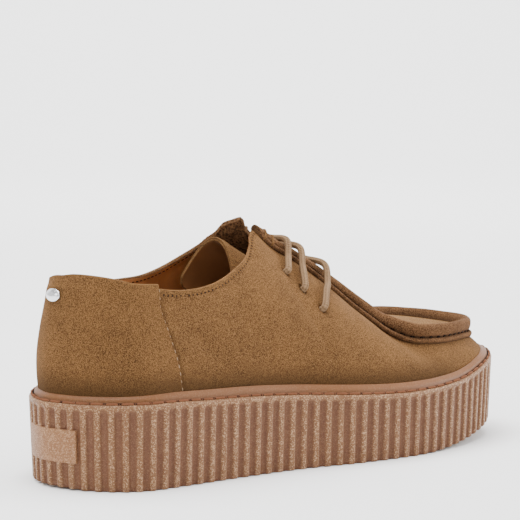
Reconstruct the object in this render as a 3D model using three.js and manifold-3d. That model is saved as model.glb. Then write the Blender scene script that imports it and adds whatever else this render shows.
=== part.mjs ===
// Lace-up suede platform shoe, right foot: ribbed rubber platform, welt, insole, hollow upper
// with a raised moccasin seam, tongue, laces and a plain heel stud.
// Millimetres. X runs from heel to toe, Y from the outer side to the inner side, Z up.
import * as THREE from 'three';
import { mergeVertices } from 'three/addons/utils/BufferGeometryUtils.js';
import Module from 'manifold-3d';

// Platform
const soleLength = 276;
const ballWidth = 107;
const heelHeight = 39.4;
const foreHeight = 32.3;
const toeRise = 11;
const toeSpring = 12;
const toeSpringStart = 188;
const heelBevel = 1.5;
const heelBevelLength = 16;
const wallTaper = 1.3;
const treadBevel = 1;
const rimRound = 1.3;

// Ribs of the platform wall and the bare plate at the heel
const ribPitch = 6.6;
const ribDepth = 1.3;
const ribCrest = 3;
const ribShift = 2.6;
const plateWidth = 38;
const plateBottom = 12.5;
const plateHeight = 15;
const plateProud = 0.3;
const plateRoot = 2.5;

// Upper
const upperHeight = 78;
const upperWall = 2.2;
const featherInset = 5;
const edgeBand = 5;
const apronLip = 0.22;
const apronEdge = 0.24;

// Welt, insole and the clearance between neighbours
const weltInset = 2.9;
const weltHeight = 4;
const weltEdge = 1;
const insoleThickness = 4;
const insoleLean = 1.45;
const fitGap = 0.35;

// Raised seam round the throat and the apron
const seamWidth = 4.8;
const seamHeight = 8.6;
const lipReach = 1.9;
const lipThickness = 1.9;
const lipFoot = 0.1;

// Tongue
const tongueThickness = 2.2;
const tongueUnder = 13.9;
const tongueBeyond = 14.5;
const tongueWidth = 52;
const tongueArch = 1.35;
const tongueCrest = 0.2;
const tongueOuterBack = 0.05;
const tongueInnerBack = 0.19;

// Laces and their punched holes
const laceDiameter = 3.3;
const holeDiameter = 4.6;
const laceSlack = 1;
const laceCrossing = 0.48;
const laceSteps = 22;

// Heel stud
const studWidth = 10.5;
const studHeight = 6;
const studThickness = 1.8;
const studAbove = 47;
const studSeat = 0.3;

const halfBall = ballWidth / 2;

// Plan outline of the platform: along is a share of the length, across of half the ball width,
// with minus on the outer side
const outlineRows = [
  { along: 0, across: 0 },
  { along: 0.014, across: -0.286 },
  { along: 0.039, across: -0.493 },
  { along: 0.072, across: -0.67 },
  { along: 0.116, across: -0.772 },
  { along: 0.188, across: -0.796 },
  { along: 0.308, across: -0.817 },
  { along: 0.428, across: -0.867 },
  { along: 0.543, across: -0.998 },
  { along: 0.663, across: -1.058 },
  { along: 0.757, across: -1.015 },
  { along: 0.851, across: -0.88 },
  { along: 0.92, across: -0.692 },
  { along: 0.971, across: -0.411 },
  { along: 1, across: 0.03 },
  { along: 0.993, across: 0.336 },
  { along: 0.957, across: 0.617 },
  { along: 0.895, across: 0.813 },
  { along: 0.815, across: 0.916 },
  { along: 0.725, across: 0.935 },
  { along: 0.623, across: 0.869 },
  { along: 0.525, across: 0.776 },
  { along: 0.428, across: 0.72 },
  { along: 0.326, across: 0.72 },
  { along: 0.217, across: 0.753 },
  { along: 0.127, across: 0.744 },
  { along: 0.076, across: 0.654 },
  { along: 0.04, across: 0.493 },
  { along: 0.014, across: 0.28 },
];

// Top of the platform: heel is a share of the drop from heel to ball, toe of the toe's rise
const bedRows = [
  { at: 0, heel: 1, toe: 0 },
  { at: 0.15, heel: 1, toe: 0 },
  { at: 0.23, heel: 0.87, toe: 0 },
  { at: 0.33, heel: 0.74, toe: 0 },
  { at: 0.42, heel: 0.51, toe: 0 },
  { at: 0.52, heel: 0.22, toe: 0 },
  { at: 0.62, heel: 0.02, toe: 0 },
  { at: 0.7, heel: 0, toe: 0.03 },
  { at: 0.75, heel: 0, toe: 0.1 },
  { at: 0.79, heel: 0, toe: 0.2 },
  { at: 0.83, heel: 0, toe: 0.36 },
  { at: 0.88, heel: 0, toe: 0.62 },
  { at: 0.92, heel: 0, toe: 0.78 },
  { at: 1, heel: 0, toe: 1 },
];

// Edge of the upper's opening, from the heel back (at 0) to the middle of the toe (at 1), the
// same for both sides: along is a share of the length, outer and inner of half the ball width,
// high of the upper's height above the platform, less drop on the inner side. The corner rows
// are the two sides of the counter's seam, the throat's top corner and its front corner.
const edgeRows = [
  { at: 0, along: 0.03, outer: 0, inner: 0, high: 0.717, drop: 0, middle: true },
  { at: 0.05, along: 0.035, outer: 0.168, inner: 0.13, high: 0.729, drop: 0.02 },
  { at: 0.1, along: 0.049, outer: 0.327, inner: 0.26, high: 0.726, drop: 0.035 },
  { at: 0.15, along: 0.072, outer: 0.467, inner: 0.385, high: 0.71, drop: 0.035 },
  { at: 0.2, along: 0.105, outer: 0.58, inner: 0.5, high: 0.678, drop: 0.03 },
  { at: 0.25, along: 0.141, outer: 0.622, inner: 0.57, high: 0.669, drop: 0.03, corner: true },
  { at: 0.262, along: 0.15, outer: 0.628, inner: 0.58, high: 0.642, drop: 0.01, corner: true },
  { at: 0.285, along: 0.174, outer: 0.636, inner: 0.595, high: 0.632, drop: 0 },
  { at: 0.32, along: 0.21, outer: 0.641, inner: 0.605, high: 0.633, drop: 0.004 },
  { at: 0.355, along: 0.25, outer: 0.636, inner: 0.607, high: 0.653, drop: 0.016 },
  { at: 0.39, along: 0.29, outer: 0.602, inner: 0.598, high: 0.692, drop: 0.037 },
  { at: 0.42, along: 0.33, outer: 0.527, inner: 0.575, high: 0.751, drop: 0.046 },
  { at: 0.447, along: 0.368, outer: 0.417, inner: 0.52, high: 0.813, drop: 0.03 },
  { at: 0.468, along: 0.396, outer: 0.29, inner: 0.42, high: 0.883, drop: 0.02 },
  { at: 0.482, along: 0.414, outer: 0.19, inner: 0.31, high: 0.94, drop: 0 },
  { at: 0.493, along: 0.438, outer: 0.084, inner: 0.093, high: 0.978, drop: -0.02, corner: true },
  { at: 0.518, along: 0.469, outer: 0.084, inner: 0.084, high: 0.903, drop: 0 },
  { at: 0.55, along: 0.511, outer: 0.084, inner: 0.084, high: 0.836, drop: 0 },
  { at: 0.58, along: 0.552, outer: 0.084, inner: 0.084, high: 0.757, drop: 0 },
  { at: 0.61, along: 0.594, outer: 0.084, inner: 0.084, high: 0.666, drop: 0 },
  { at: 0.64, along: 0.638, outer: 0.084, inner: 0.084, high: 0.562, drop: 0, corner: true },
  { at: 0.655, along: 0.643, outer: 0.078, inner: 0.078, high: 0.55, drop: -0.003 },
  { at: 0.7, along: 0.65, outer: 0.061, inner: 0.061, high: 0.537, drop: -0.012 },
  { at: 0.795, along: 0.654, outer: 0.037, inner: 0.037, high: 0.532, drop: -0.026 },
  { at: 0.893, along: 0.656, outer: 0.016, inner: 0.016, high: 0.53, drop: -0.02 },
  { at: 1, along: 0.656, outer: 0, inner: 0, high: 0.53, drop: 0, middle: true },
];

// Lip of the apron in front of the throat, in the same shares and less the same drop
const lipRows = [
  { at: 0.64, along: 0.632, outer: 0.168, inner: 0.168, high: 0.528, corner: true },
  { at: 0.655, along: 0.658, outer: 0.29, inner: 0.28, high: 0.442 },
  { at: 0.675, along: 0.683, outer: 0.439, inner: 0.41, high: 0.344 },
  { at: 0.7, along: 0.716, outer: 0.579, inner: 0.523, high: 0.273 },
  { at: 0.74, along: 0.766, outer: 0.66, inner: 0.579, high: 0.24 },
  { at: 0.795, along: 0.824, outer: 0.613, inner: 0.598, high: 0.205 },
  { at: 0.845, along: 0.875, outer: 0.51, inner: 0.57, high: 0.164 },
  { at: 0.893, along: 0.917, outer: 0.389, inner: 0.467, high: 0.131 },
  { at: 0.948, along: 0.945, outer: 0.196, inner: 0.29, high: 0.123 },
  { at: 1, along: 0.955, outer: -0.047, inner: 0.047, high: 0.12, middle: true },
];

// Handles of the curve that climbs the wall from the platform to the lip: stand is the height of
// the first one over its foot and swell its reach outwards, fall is the depth of the last one
// under the lip and spread its reach outwards. crown and dip shape the apron inside the lip, and
// seam is the raised seam's height there.
const wallRows = [
  { at: 0, stand: 0.26, swell: 0.062, spread: 0.04, fall: 0.2, crown: 0, dip: 0, seam: 0 },
  { at: 0.2, stand: 0.26, swell: 0.05, spread: 0.04, fall: 0.2, crown: 0, dip: 0, seam: 0 },
  { at: 0.32, stand: 0.24, swell: 0.035, spread: 0.04, fall: 0.18, crown: 0, dip: 0, seam: 0 },
  { at: 0.39, stand: 0.26, swell: 0.02, spread: 0.08, fall: 0.18, crown: 0, dip: 0, seam: 0 },
  { at: 0.42, stand: 0.28, swell: 0.02, spread: 0.15, fall: 0.17, crown: 0, dip: 0, seam: 0 },
  { at: 0.447, stand: 0.3, swell: 0.02, spread: 0.23, fall: 0.15, crown: 0, dip: 0, seam: 0 },
  { at: 0.468, stand: 0.31, swell: 0.02, spread: 0.29, fall: 0.14, crown: 0, dip: 0, seam: 0 },
  { at: 0.493, stand: 0.31, swell: 0.02, spread: 0.31, fall: 0.14, crown: 0, dip: 0.3, seam: 0.36 },
  { at: 0.55, stand: 0.3, swell: 0.02, spread: 0.32, fall: 0.13, crown: 0, dip: 0.3, seam: 0.46 },
  { at: 0.61, stand: 0.27, swell: 0.02, spread: 0.33, fall: 0.12, crown: 0, dip: 0.3, seam: 0.6 },
  { at: 0.64, stand: 0.25, swell: 0.02, spread: 0.31, fall: 0.12, crown: 0, dip: 0.3, seam: 0.72 },
  { at: 0.675, stand: 0.19, swell: 0.015, spread: 0.2, fall: 0.11, crown: 0.03, dip: 0.3, seam: 0.88 },
  { at: 0.7, stand: 0.15, swell: 0.01, spread: 0.13, fall: 0.09, crown: 0.045, dip: 0.34, seam: 1 },
  { at: 0.74, stand: 0.11, swell: 0.01, spread: 0.09, fall: 0.07, crown: 0.06, dip: 0.44, seam: 1 },
  { at: 0.795, stand: 0.08, swell: 0.005, spread: 0.07, fall: 0.055, crown: 0.075, dip: 0.6, seam: 1 },
  { at: 0.845, stand: 0.065, swell: 0, spread: 0.06, fall: 0.045, crown: 0.08, dip: 0.75, seam: 1 },
  { at: 0.893, stand: 0.05, swell: 0, spread: 0.055, fall: 0.04, crown: 0.085, dip: 0.83, seam: 1 },
  { at: 1, stand: 0.045, swell: 0, spread: 0.055, fall: 0.035, crown: 0.09, dip: 0.88, seam: 1 },
];

// Sections of the tongue from its sewn front to its free end: middle and half are shares of half
// its width, high of the upper's height above the platform, wing of its width
const tongueRows = [
  { at: 0, middle: 0, half: 0.46, high: 0.391, wing: 0.05 },
  { at: 0.2, middle: 0, half: 0.66, high: 0.491, wing: 0.1 },
  { at: 0.4, middle: 0.02, half: 0.82, high: 0.61, wing: 0.2 },
  { at: 0.6, middle: 0.02, half: 0.8, high: 0.71, wing: 0.32 },
  { at: 0.8, middle: 0.12, half: 0.78, high: 0.795, wing: 0.44 },
  { at: 1, middle: 0.27, half: 0.8, high: 0.915, wing: 0.54 },
];

// Section of the roll from its foot on the lip's side to its foot on the apron: inwards is a share
// of the seam's width, up of its height
const rollRows = [
  { inwards: 0.06, up: 0.7 },
  { inwards: 0.35, up: 1 },
  { inwards: 0.75, up: 1 },
  { inwards: 1, up: 0.6 },
  { inwards: 1, up: 0 },
];

// Lace bars from the heel end: hole and rise place the punched holes on both walls, outer and
// inner are where the bar climbs over the raised seam on each side
const laceRows = [
  { name: 'lace_upper', hole: 0.501, rise: 0.71, outer: 0.534, inner: 0.53 },
  { name: 'lace_middle', hole: 0.515, rise: 0.63, outer: 0.555, inner: 0.543 },
  { name: 'lace_lower', hole: 0.527, rise: 0.52, outer: 0.595, inner: 0.58 },
];

// Bends of a lace bar on the wall, in shares of the way from its hole to its crossing
const laceBends = [
  { turn: 0.48, rise: 0.3 },
  { turn: 0.93, rise: 0.63 },
];

const v = (x, y, z) => new THREE.Vector3(x, y, z);

// Slope of a table's column at a row: only the rows on the near side count at a corner, and
// along and high run level over the middle line of the shoe
function slope(rows, column, index, side) {
  if (rows[index].middle && !['outer', 'inner'].includes(column)) return 0;
  const low = index === 0 || (rows[index].corner && side > 0) ? index : index - 1;
  const high = index === rows.length - 1 || (rows[index].corner && side < 0) ? index : index + 1;
  return (rows[high][column] - rows[low][column]) / (rows[high].at - rows[low].at);
}

// Value of a table's column at a place between its rows, as a smooth curve through them
function read(rows, column, at) {
  const last = rows.length - 2;
  const found = rows.findIndex((row) => row.at > at) - 1;
  const index = found < 0 ? last : Math.min(found, last);
  const [a, b] = [rows[index], rows[index + 1]];
  const width = b.at - a.at;
  const t = THREE.MathUtils.clamp((at - a.at) / width, 0, 1);
  const rise = slope(rows, column, index, 1) * width;
  const leave = slope(rows, column, index + 1, -1) * width;
  const turnIn = t * (1 - t) * (1 - t) * rise;
  const turnOut = t * t * (t - 1) * leave;
  return a[column] + (b[column] - a[column]) * t * t * (3 - 2 * t) + turnIn + turnOut;
}

// Turns of the throat's top corner and of its front corner
const throatTop = edgeRows.filter((row) => row.corner)[2].at;
const throatFront = lipRows[0].at;
const throatLength = (at) => read(edgeRows, 'along', at) * soleLength;
const tongueFront = throatLength(throatFront) + tongueUnder;
const tongueLength = tongueFront - throatLength(throatTop) + tongueBeyond;

// Plan outline with its heel back at the start and its toe tip at toeTurn
const outline = new THREE.CatmullRomCurve3(
  outlineRows.map((row) => v(row.along * soleLength, row.across * halfBall, 0)),
  true,
  'centripetal',
);
outline.arcLengthDivisions = 1200;
const perimeter = outline.getLength();
const toeTurn = outline.getLengths()[
  Math.round((outlineRows.findIndex((row) => row.along === 1) / outlineRows.length) * 1200)
] / perimeter;

// Height of the platform's top and of its underside at a place along the shoe
function bedHeight(x) {
  const at = THREE.MathUtils.clamp(x / soleLength, 0, 1);
  const drop = (heelHeight - foreHeight) * read(bedRows, 'heel', at);
  return foreHeight + drop + toeRise * read(bedRows, 'toe', at);
}

function treadHeight(x) {
  const spring = Math.max(0, (x - toeSpringStart) / (soleLength - toeSpringStart));
  const bevel = Math.max(0, 1 - x / heelBevelLength);
  return toeSpring * spring ** 1.6 + heelBevel * bevel ** 2;
}

// Point of the outline at a share of its length, moved inwards by inset, and its outward direction
function outwardAt(share) {
  const tangent = outline.getTangentAt(THREE.MathUtils.euclideanModulo(share, 1));
  return v(tangent.y, -tangent.x, 0).normalize();
}

function outlineAt(share, inset) {
  const point = outline.getPointAt(THREE.MathUtils.euclideanModulo(share, 1));
  return point.addScaledVector(outwardAt(share), -inset);
}

// Closed body from rings of points: joined ends make it a ring, free ends get flat caps
function loft(rings, joined = false) {
  const count = rings[0].length;
  const faces = [];
  const bands = joined ? rings.length : rings.length - 1;
  for (let band = 0; band < bands; band += 1) {
    const here = band * count;
    const next = ((band + 1) % rings.length) * count;
    for (let i = 0; i < count; i += 1) {
      const j = (i + 1) % count;
      faces.push([here + i, here + j, next + j], [here + i, next + j, next + i]);
    }
  }
  if (!joined) {
    const top = (rings.length - 1) * count;
    for (let low = 0, high = count - 1; high - low > 1;) {
      faces.push([low, high, low + 1], [top + low, top + low + 1, top + high]);
      low += 1;
      if (high - low > 1) {
        faces.push([low, high, high - 1], [top + low, top + high - 1, top + high]);
        high -= 1;
      }
    }
  }
  const points = rings.flat();
  const volume = faces.reduce((sum, [a, b, c]) => {
    return sum + points[a].dot(v(0, 0, 0).crossVectors(points[b], points[c]));
  }, 0);
  const order = volume > 0 ? faces : faces.map(([a, b, c]) => [a, c, b]);
  const geometry = new THREE.BufferGeometry();
  geometry.setAttribute('position', new THREE.Float32BufferAttribute(points.flatMap((p) => p.toArray()), 3));
  geometry.setIndex(order.flat());
  return geometry;
}

const wasm = await Module();
wasm.setup();

// Solid of a closed geometry, for joins and cuts, and back
function toSolid(geometry) {
  const bare = geometry.clone();
  bare.deleteAttribute('normal');
  bare.deleteAttribute('uv');
  const merged = mergeVertices(bare, 1e-4);
  const vertProperties = new Float32Array(merged.attributes.position.array);
  const triVerts = new Uint32Array(merged.index.array);
  return new wasm.Manifold(new wasm.Mesh({ numProp: 3, vertProperties, triVerts }));
}

function fromSolid(solid) {
  const mesh = solid.getMesh();
  const geometry = new THREE.BufferGeometry();
  geometry.setAttribute('position', new THREE.BufferAttribute(mesh.vertProperties, 3));
  geometry.setIndex(new THREE.BufferAttribute(mesh.triVerts, 1));
  return geometry;
}

// Platform: rings of ribbed points from the tread edge to the rim
function platform() {
  const ribCount = Math.round(perimeter / ribPitch);
  const pitch = perimeter / ribCount;
  const marks = [];
  for (let rib = 0; rib < ribCount; rib += 1) {
    const crest = rib * pitch + ribShift;
    marks.push({ share: (crest - ribCrest / 2) / perimeter, groove: 0 });
    marks.push({ share: (crest + ribCrest / 2) / perimeter, groove: 0 });
    marks.push({ share: (crest + pitch / 2) / perimeter, groove: 1 });
  }
  const ring = (inset, depth, heightAt) => marks.map((mark) => {
    const point = outlineAt(mark.share, inset + depth * mark.groove);
    point.z = heightAt(point.x);
    return point;
  });
  return loft([
    ring(wallTaper + treadBevel, ribDepth, treadHeight),
    ring(wallTaper, ribDepth, (x) => treadHeight(x) + treadBevel),
    ring(0, ribDepth, (x) => bedHeight(x) - rimRound),
    ring(rimRound, 0, bedHeight),
  ]);
}

// Bare plate moulded on the ribs at the heel back
function heelPlate() {
  const steps = 8;
  const sections = [];
  for (let i = 0; i <= steps; i += 1) {
    const share = (i / steps - 0.5) * (plateWidth / perimeter);
    const taper = (height) => wallTaper * (1 - height / heelHeight);
    const corner = (inset, height) => outlineAt(share, inset + taper(height)).setZ(height);
    sections.push([
      corner(-plateProud, plateBottom),
      corner(-plateProud, plateBottom + plateHeight),
      corner(plateRoot, plateBottom + plateHeight),
      corner(plateRoot, plateBottom),
    ]);
  }
  return loft(sections);
}

// Frame of one ray of the upper: side is -1 on the outer side and 1 on the inner side
function ray(at, side) {
  const across = side < 0 ? 'outer' : 'inner';
  const drop = side > 0 ? read(edgeRows, 'drop', at) : 0;
  const place = (rows) => {
    const x = read(rows, 'along', at) * soleLength;
    const y = side * read(rows, across, at) * halfBall;
    return v(x, y, bedHeight(x) + (read(rows, 'high', at) - drop) * upperHeight);
  };
  const share = side < 0 ? at * toeTurn : 1 - at * (1 - toeTurn);
  const out = outwardAt(share);
  const foot = outlineAt(share, featherInset);
  foot.z = bedHeight(foot.x) + fitGap;
  const reach = read(wallRows, 'spread', at) * halfBall;
  const fall = read(wallRows, 'fall', at) * upperHeight;
  const last = out.clone().multiplyScalar(reach).setZ(-fall);
  const edge = place(edgeRows);
  const inApron = at > throatFront;
  const lip = inApron ? place(lipRows) : edge.clone().addScaledVector(last.clone().normalize(), edgeBand);
  const first = foot.clone().addScaledVector(out, read(wallRows, 'swell', at) * halfBall);
  first.z += read(wallRows, 'stand', at) * upperHeight;
  return { foot, first, last: lip.clone().add(last), lip, edge, inApron };
}

// Outer surface of the upper: rise runs 0 to 1 from the platform to the lip, and 1 to 2 from the
// lip to the edge of the opening
function upperAt(at, side, rise) {
  const r = ray(at, side);
  if (rise <= 1) return new THREE.CubicBezierCurve3(r.foot, r.first, r.last, r.lip).getPoint(rise);
  if (!r.inApron) return r.lip.clone().lerp(r.edge, rise - 1);
  const nearLip = r.lip.clone().lerp(r.edge, apronLip);
  nearLip.z = r.lip.z + read(wallRows, 'crown', at) * upperHeight;
  const nearEdge = r.edge.clone().lerp(r.lip, apronEdge);
  nearEdge.z = THREE.MathUtils.lerp(r.edge.z, r.lip.z, read(wallRows, 'dip', at));
  return new THREE.CubicBezierCurve3(r.lip, nearLip, nearEdge, r.edge).getPoint(rise - 1);
}

// A turn runs round the whole shoe, -1 and 1 at the toe tip, 0 at the heel back
const onTurn = (turn, rise) => {
  const at = Math.abs(turn) > 1 ? 2 - Math.abs(turn) : Math.abs(turn);
  const side = Math.abs(turn) > 1 ? -Math.sign(turn) : Math.sign(turn) || 1;
  return upperAt(at, side, rise);
};

// Outward normal of the upper's outer surface
function upperNormal(turn, rise) {
  const reach = 0.004;
  const round = onTurn(turn + reach, rise).sub(onTurn(turn - reach, rise));
  const low = Math.max(rise - reach * 5, 0);
  const high = Math.min(rise + reach * 5, 2);
  const climb = onTurn(turn, high).sub(onTurn(turn, low));
  return climb.cross(round).normalize();
}

const turnStep = 0.02;

// Turns of the rays, from the outer side of the toe round the heel to its inner side
const halfTurns = edgeRows.flatMap((row, i) => {
  if (i === 0) return [row.at];
  const before = edgeRows[i - 1].at;
  const steps = Math.max(1, Math.round((row.at - before) / turnStep));
  return Array.from({ length: steps }, (_, k) => before + ((row.at - before) * (k + 1)) / steps);
});
const turns = [...halfTurns.slice(0, -1).map((at) => -at).reverse(), ...halfTurns.slice(1)];

const wallRises = [0, 0.16, 0.34, 0.55, 0.78, 1];
const capRises = [1.33, 1.66, 2];
const rises = [...wallRises, ...capRises];

// Point off the upper's outer surface, lifted along its normal
function offWall(turn, rise, lift) {
  const normal = upperNormal(turn, rise);
  if (rise === 0) normal.setZ(0).normalize();
  return onTurn(turn, rise).addScaledVector(normal, lift);
}

// Upper: one wall between its outer surface, raised by lift, and the surface inside it
function upper(lift = 0) {
  const outer = rises.map((rise) => turns.map((turn) => offWall(turn, rise, lift)));
  const inner = rises.map((rise) => turns.map((turn) => offWall(turn, rise, -upperWall)));
  return loft([...outer, ...inner.reverse()], true);
}

// Direction out of the shoe at a turn, and the place of the wall's outer face at a height there
const outlineShare = (turn) => (turn < 0 ? -turn * toeTurn : 1 - turn * (1 - toeTurn));
const outwardOf = (turn) => outwardAt(outlineShare(turn));

function wallAt(turn, height) {
  const wall = wallRises.map((rise) => onTurn(turn, rise));
  const level = wall[0].z + height;
  const above = wall.findIndex((point) => point.z > level);
  const part = (level - wall[above - 1].z) / (wall[above].z - wall[above - 1].z);
  return wall[above - 1].clone().lerp(wall[above], part);
}

// Insole inside the foot of the upper, clear of the wall where it leans in
function insole() {
  const ring = (height) => turns.map((turn) => {
    const point = wallAt(turn, insoleThickness + fitGap);
    point.addScaledVector(outwardOf(turn), -(insoleLean * upperWall + fitGap));
    point.z = bedHeight(point.x) + fitGap + height;
    return point;
  });
  return loft([ring(0), ring(insoleThickness)]);
}

// Welt: a band on the platform's rim that leans in to the upper
function welt() {
  return loft(turns.map((turn) => {
    const out = outwardOf(turn);
    const beside = (height) => wallAt(turn, height).addScaledVector(out, fitGap);
    const rim = outlineAt(outlineShare(turn), weltInset).setZ(beside(0).z);
    const shoulder = rim.clone().addScaledVector(out, -weltEdge / 2);
    shoulder.z += weltHeight / 2;
    const top = beside(weltHeight);
    const crest = top.clone().addScaledVector(out, weltEdge);
    crest.z -= weltEdge / 2;
    return [rim, shoulder, crest, top, beside(weltHeight / 2), beside(0)];
  }), true);
}

// Point of the apron, or of the band inside the throat's lip, at a distance from the lip
function insideLip(turn, distance) {
  const steps = 40;
  let before = onTurn(turn, 1);
  let gone = 0;
  for (let i = 1; i <= steps; i += 1) {
    const point = onTurn(turn, 1 + i / steps);
    gone += point.distanceTo(before);
    if (gone >= distance) return point;
    before = point;
  }
  return before;
}

// Directions at the lip: along it, over the apron away from it, and up from the surface
function lipFrame(turn) {
  const reach = 0.003;
  const lip = onTurn(turn, 1);
  const along = onTurn(turn + reach, 1).sub(onTurn(turn - reach, 1)).normalize();
  const inward = insideLip(turn, seamWidth).sub(lip);
  inward.addScaledVector(along, -inward.dot(along)).normalize();
  const up = inward.clone().cross(along);
  if (up.z < 0) up.negate();
  return { lip, inward, up };
}

const seamTop = (turn) => seamHeight * read(wallRows, 'seam', Math.abs(turn));

// Point of a section that stands on the lip: in is measured over the apron, up from the surface
function atLip(turn, inwards, upwards) {
  const frame = lipFrame(turn);
  return frame.lip.addScaledVector(frame.inward, inwards).addScaledVector(frame.up, upwards);
}

// Raised seam: a lip that stands out over the wall and a roll inside it, from the throat's
// outer corner round the toe to its inner corner, cut clear of the upper below it
const seamHalf = halfTurns.filter((at) => at >= throatTop);
const seamTurns = [...seamHalf.map((at) => -at), ...seamHalf.slice(0, -1).reverse()];

function raisedSeam() {
  const roll = loft(seamTurns.map((turn) => {
    const top = seamTop(turn);
    const lipTop = fitGap + lipThickness;
    return [
      atLip(turn, -lipReach, 0),
      atLip(turn, -lipReach, lipTop),
      atLip(turn, lipFoot * seamWidth, lipTop),
      ...rollRows.map((row) => atLip(turn, row.inwards * seamWidth, row.up * top)),
    ];
  }));
  return fromSolid(toSolid(roll).subtract(toSolid(upper(fitGap))));
}

// Outer face of the tongue: length runs 0 to 1 from its sewn front to its free end, width -1 to 1
function tongueAt(length, width) {
  const half = tongueWidth / 2;
  const back = 1 + (width < tongueCrest ? tongueOuterBack : tongueInnerBack) * (width - tongueCrest) ** 2;
  const x = tongueFront - length * tongueLength * back;
  const middle = read(tongueRows, 'middle', length);
  const bent = Math.sin(width * tongueArch) / Math.sin(tongueArch);
  const y = half * (middle + read(tongueRows, 'half', length) * bent);
  const fall = read(tongueRows, 'wing', length) * tongueWidth * (1 - Math.cos(width * tongueArch));
  const high = read(tongueRows, 'high', length) * upperHeight;
  return v(x, y, bedHeight(x) + high - fall / (1 - Math.cos(tongueArch)));
}

function tongue() {
  const reach = 0.01;
  const lengths = Array.from({ length: 11 }, (_, i) => i / 10);
  const widths = Array.from({ length: 13 }, (_, i) => i / 6 - 1);
  return loft(lengths.map((length) => {
    const outer = widths.map((width) => tongueAt(length, width));
    const inner = widths.map((width, i) => {
      const round = tongueAt(length, width + reach).sub(tongueAt(length, width - reach));
      const ahead = tongueAt(length - reach, width).sub(tongueAt(length + reach, width));
      return outer[i].clone().addScaledVector(ahead.cross(round).normalize(), -tongueThickness);
    });
    return [...outer, ...inner.reverse()];
  }));
}

// Middle line of one lace bar: out of its hole, up the wall, over the raised seam and down
function laceLine(row) {
  const radius = laceDiameter / 2;
  const clear = radius + fitGap + laceSlack;
  const half = (side) => {
    const over = side < 0 ? row.outer : row.inner;
    const bend = (at) => offWall(
      side * THREE.MathUtils.lerp(row.hole, over, at.turn),
      THREE.MathUtils.lerp(row.rise, 1, at.rise),
      clear,
    );
    return [
      offWall(side * row.hole, row.rise, -upperWall / 2),
      offWall(side * row.hole, row.rise, radius),
      ...laceBends.map(bend),
      atLip(side * over, laceCrossing * seamWidth, seamTop(over) + clear),
    ];
  };
  const outer = half(-1);
  const inner = half(1).reverse();
  const top = outer.at(-1).clone().lerp(inner[0], 0.5);
  top.z += laceSlack;
  return new THREE.CatmullRomCurve3([...outer, top, ...inner]);
}

// Round cord along a line
function cord(line, diameter, steps) {
  const section = new THREE.Shape();
  const sides = 8;
  for (let i = 0; i < sides; i += 1) {
    const angle = (i / sides) * 2 * Math.PI;
    const x = (diameter / 2) * Math.cos(angle);
    const y = (diameter / 2) * Math.sin(angle);
    if (i === 0) section.moveTo(x, y);
    else section.lineTo(x, y);
  }
  return new THREE.ExtrudeGeometry(section, { steps, extrudePath: line });
}

// Punch for one lace hole, square to the wall
function punch(turn, rise) {
  const normal = upperNormal(turn, rise);
  const geometry = new THREE.CylinderGeometry(holeDiameter / 2, holeDiameter / 2, 4 * upperWall, 10);
  geometry.applyQuaternion(new THREE.Quaternion().setFromUnitVectors(v(0, 1, 0), normal));
  const middle = onTurn(turn, rise).addScaledVector(normal, -upperWall / 2);
  return geometry.translate(middle.x, middle.y, middle.z);
}

function punchedUpper() {
  return laceRows.reduce((leather, row) => {
    return [-1, 1].reduce((rest, side) => {
      return rest.subtract(toSolid(punch(side * row.hole, row.rise)));
    }, leather);
  }, toSolid(upper()));
}

// Rise at which a ray's wall stands at a height over its foot
function riseAt(turn, height) {
  const foot = onTurn(turn, 0).z;
  let low = 0;
  let high = 1;
  for (let i = 0; i < 30; i += 1) {
    const rise = (low + high) / 2;
    if (onTurn(turn, rise).z - foot < height) low = rise;
    else high = rise;
  }
  return (low + high) / 2;
}

// Plain oval stud with a domed face on the heel back
function heelStud() {
  const half = studWidth / 2;
  const profile = [
    new THREE.Vector2(0, 0),
    new THREE.Vector2(half, 0),
    new THREE.Vector2(half, 0.4 * studThickness),
    new THREE.Vector2(0.7 * half, 0.85 * studThickness),
    new THREE.Vector2(0, studThickness),
  ];
  const geometry = new THREE.LatheGeometry(profile, 16);
  geometry.scale(1, 1, studHeight / studWidth);
  const rise = riseAt(0, studAbove);
  const normal = upperNormal(0, rise);
  const across = v(0, 1, 0);
  geometry.applyMatrix4(new THREE.Matrix4().makeBasis(across, normal, across.clone().cross(normal)));
  const seat = offWall(0, rise, fitGap + studSeat);
  return geometry.translate(seat.x, seat.y, seat.z);
}

function finish(color, roughness, metalness = 0) {
  return new THREE.MeshStandardMaterial({ color, roughness, metalness });
}

const shoe = new THREE.Group();

function add(name, geometry, material) {
  const mesh = new THREE.Mesh(geometry, material);
  mesh.name = name;
  shoe.add(mesh);
  return mesh;
}

const sole = add(
  'platform_sole',
  fromSolid(toSolid(platform()).add(toSolid(heelPlate()))),
  finish(0xc79a86, 0.45),
);
add('welt', welt(), finish(0xb98c7a, 0.6));
add('insole', insole(), finish(0xa9713f, 0.7));
add('upper', fromSolid(punchedUpper()), finish(0x8d6c46, 0.95));
add('apron_seam', raisedSeam(), finish(0x866440, 0.95));
add('tongue', tongue(), finish(0x8d6c46, 0.95));
laceRows.forEach((row) => {
  add(row.name, cord(laceLine(row), laceDiameter, laceSteps), finish(0x7d6446, 0.9));
});
add('heel_stud', heelStud(), finish(0xc9c9cc, 0.25, 1));

// Origin at the middle of the footprint, on the floor
const box = new THREE.Box3().setFromObject(sole);
const middle = box.getCenter(v(0, 0, 0));
shoe.position.set(-middle.x, -middle.y, 0);
shoe.updateMatrixWorld(true);

export default shoe;
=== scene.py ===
"""Dresses a lace-up suede platform shoe, right foot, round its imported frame.

Metres, in the part's frame: X from heel to toe, Y from the outer side to the inner side, Z up.
"""

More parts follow.
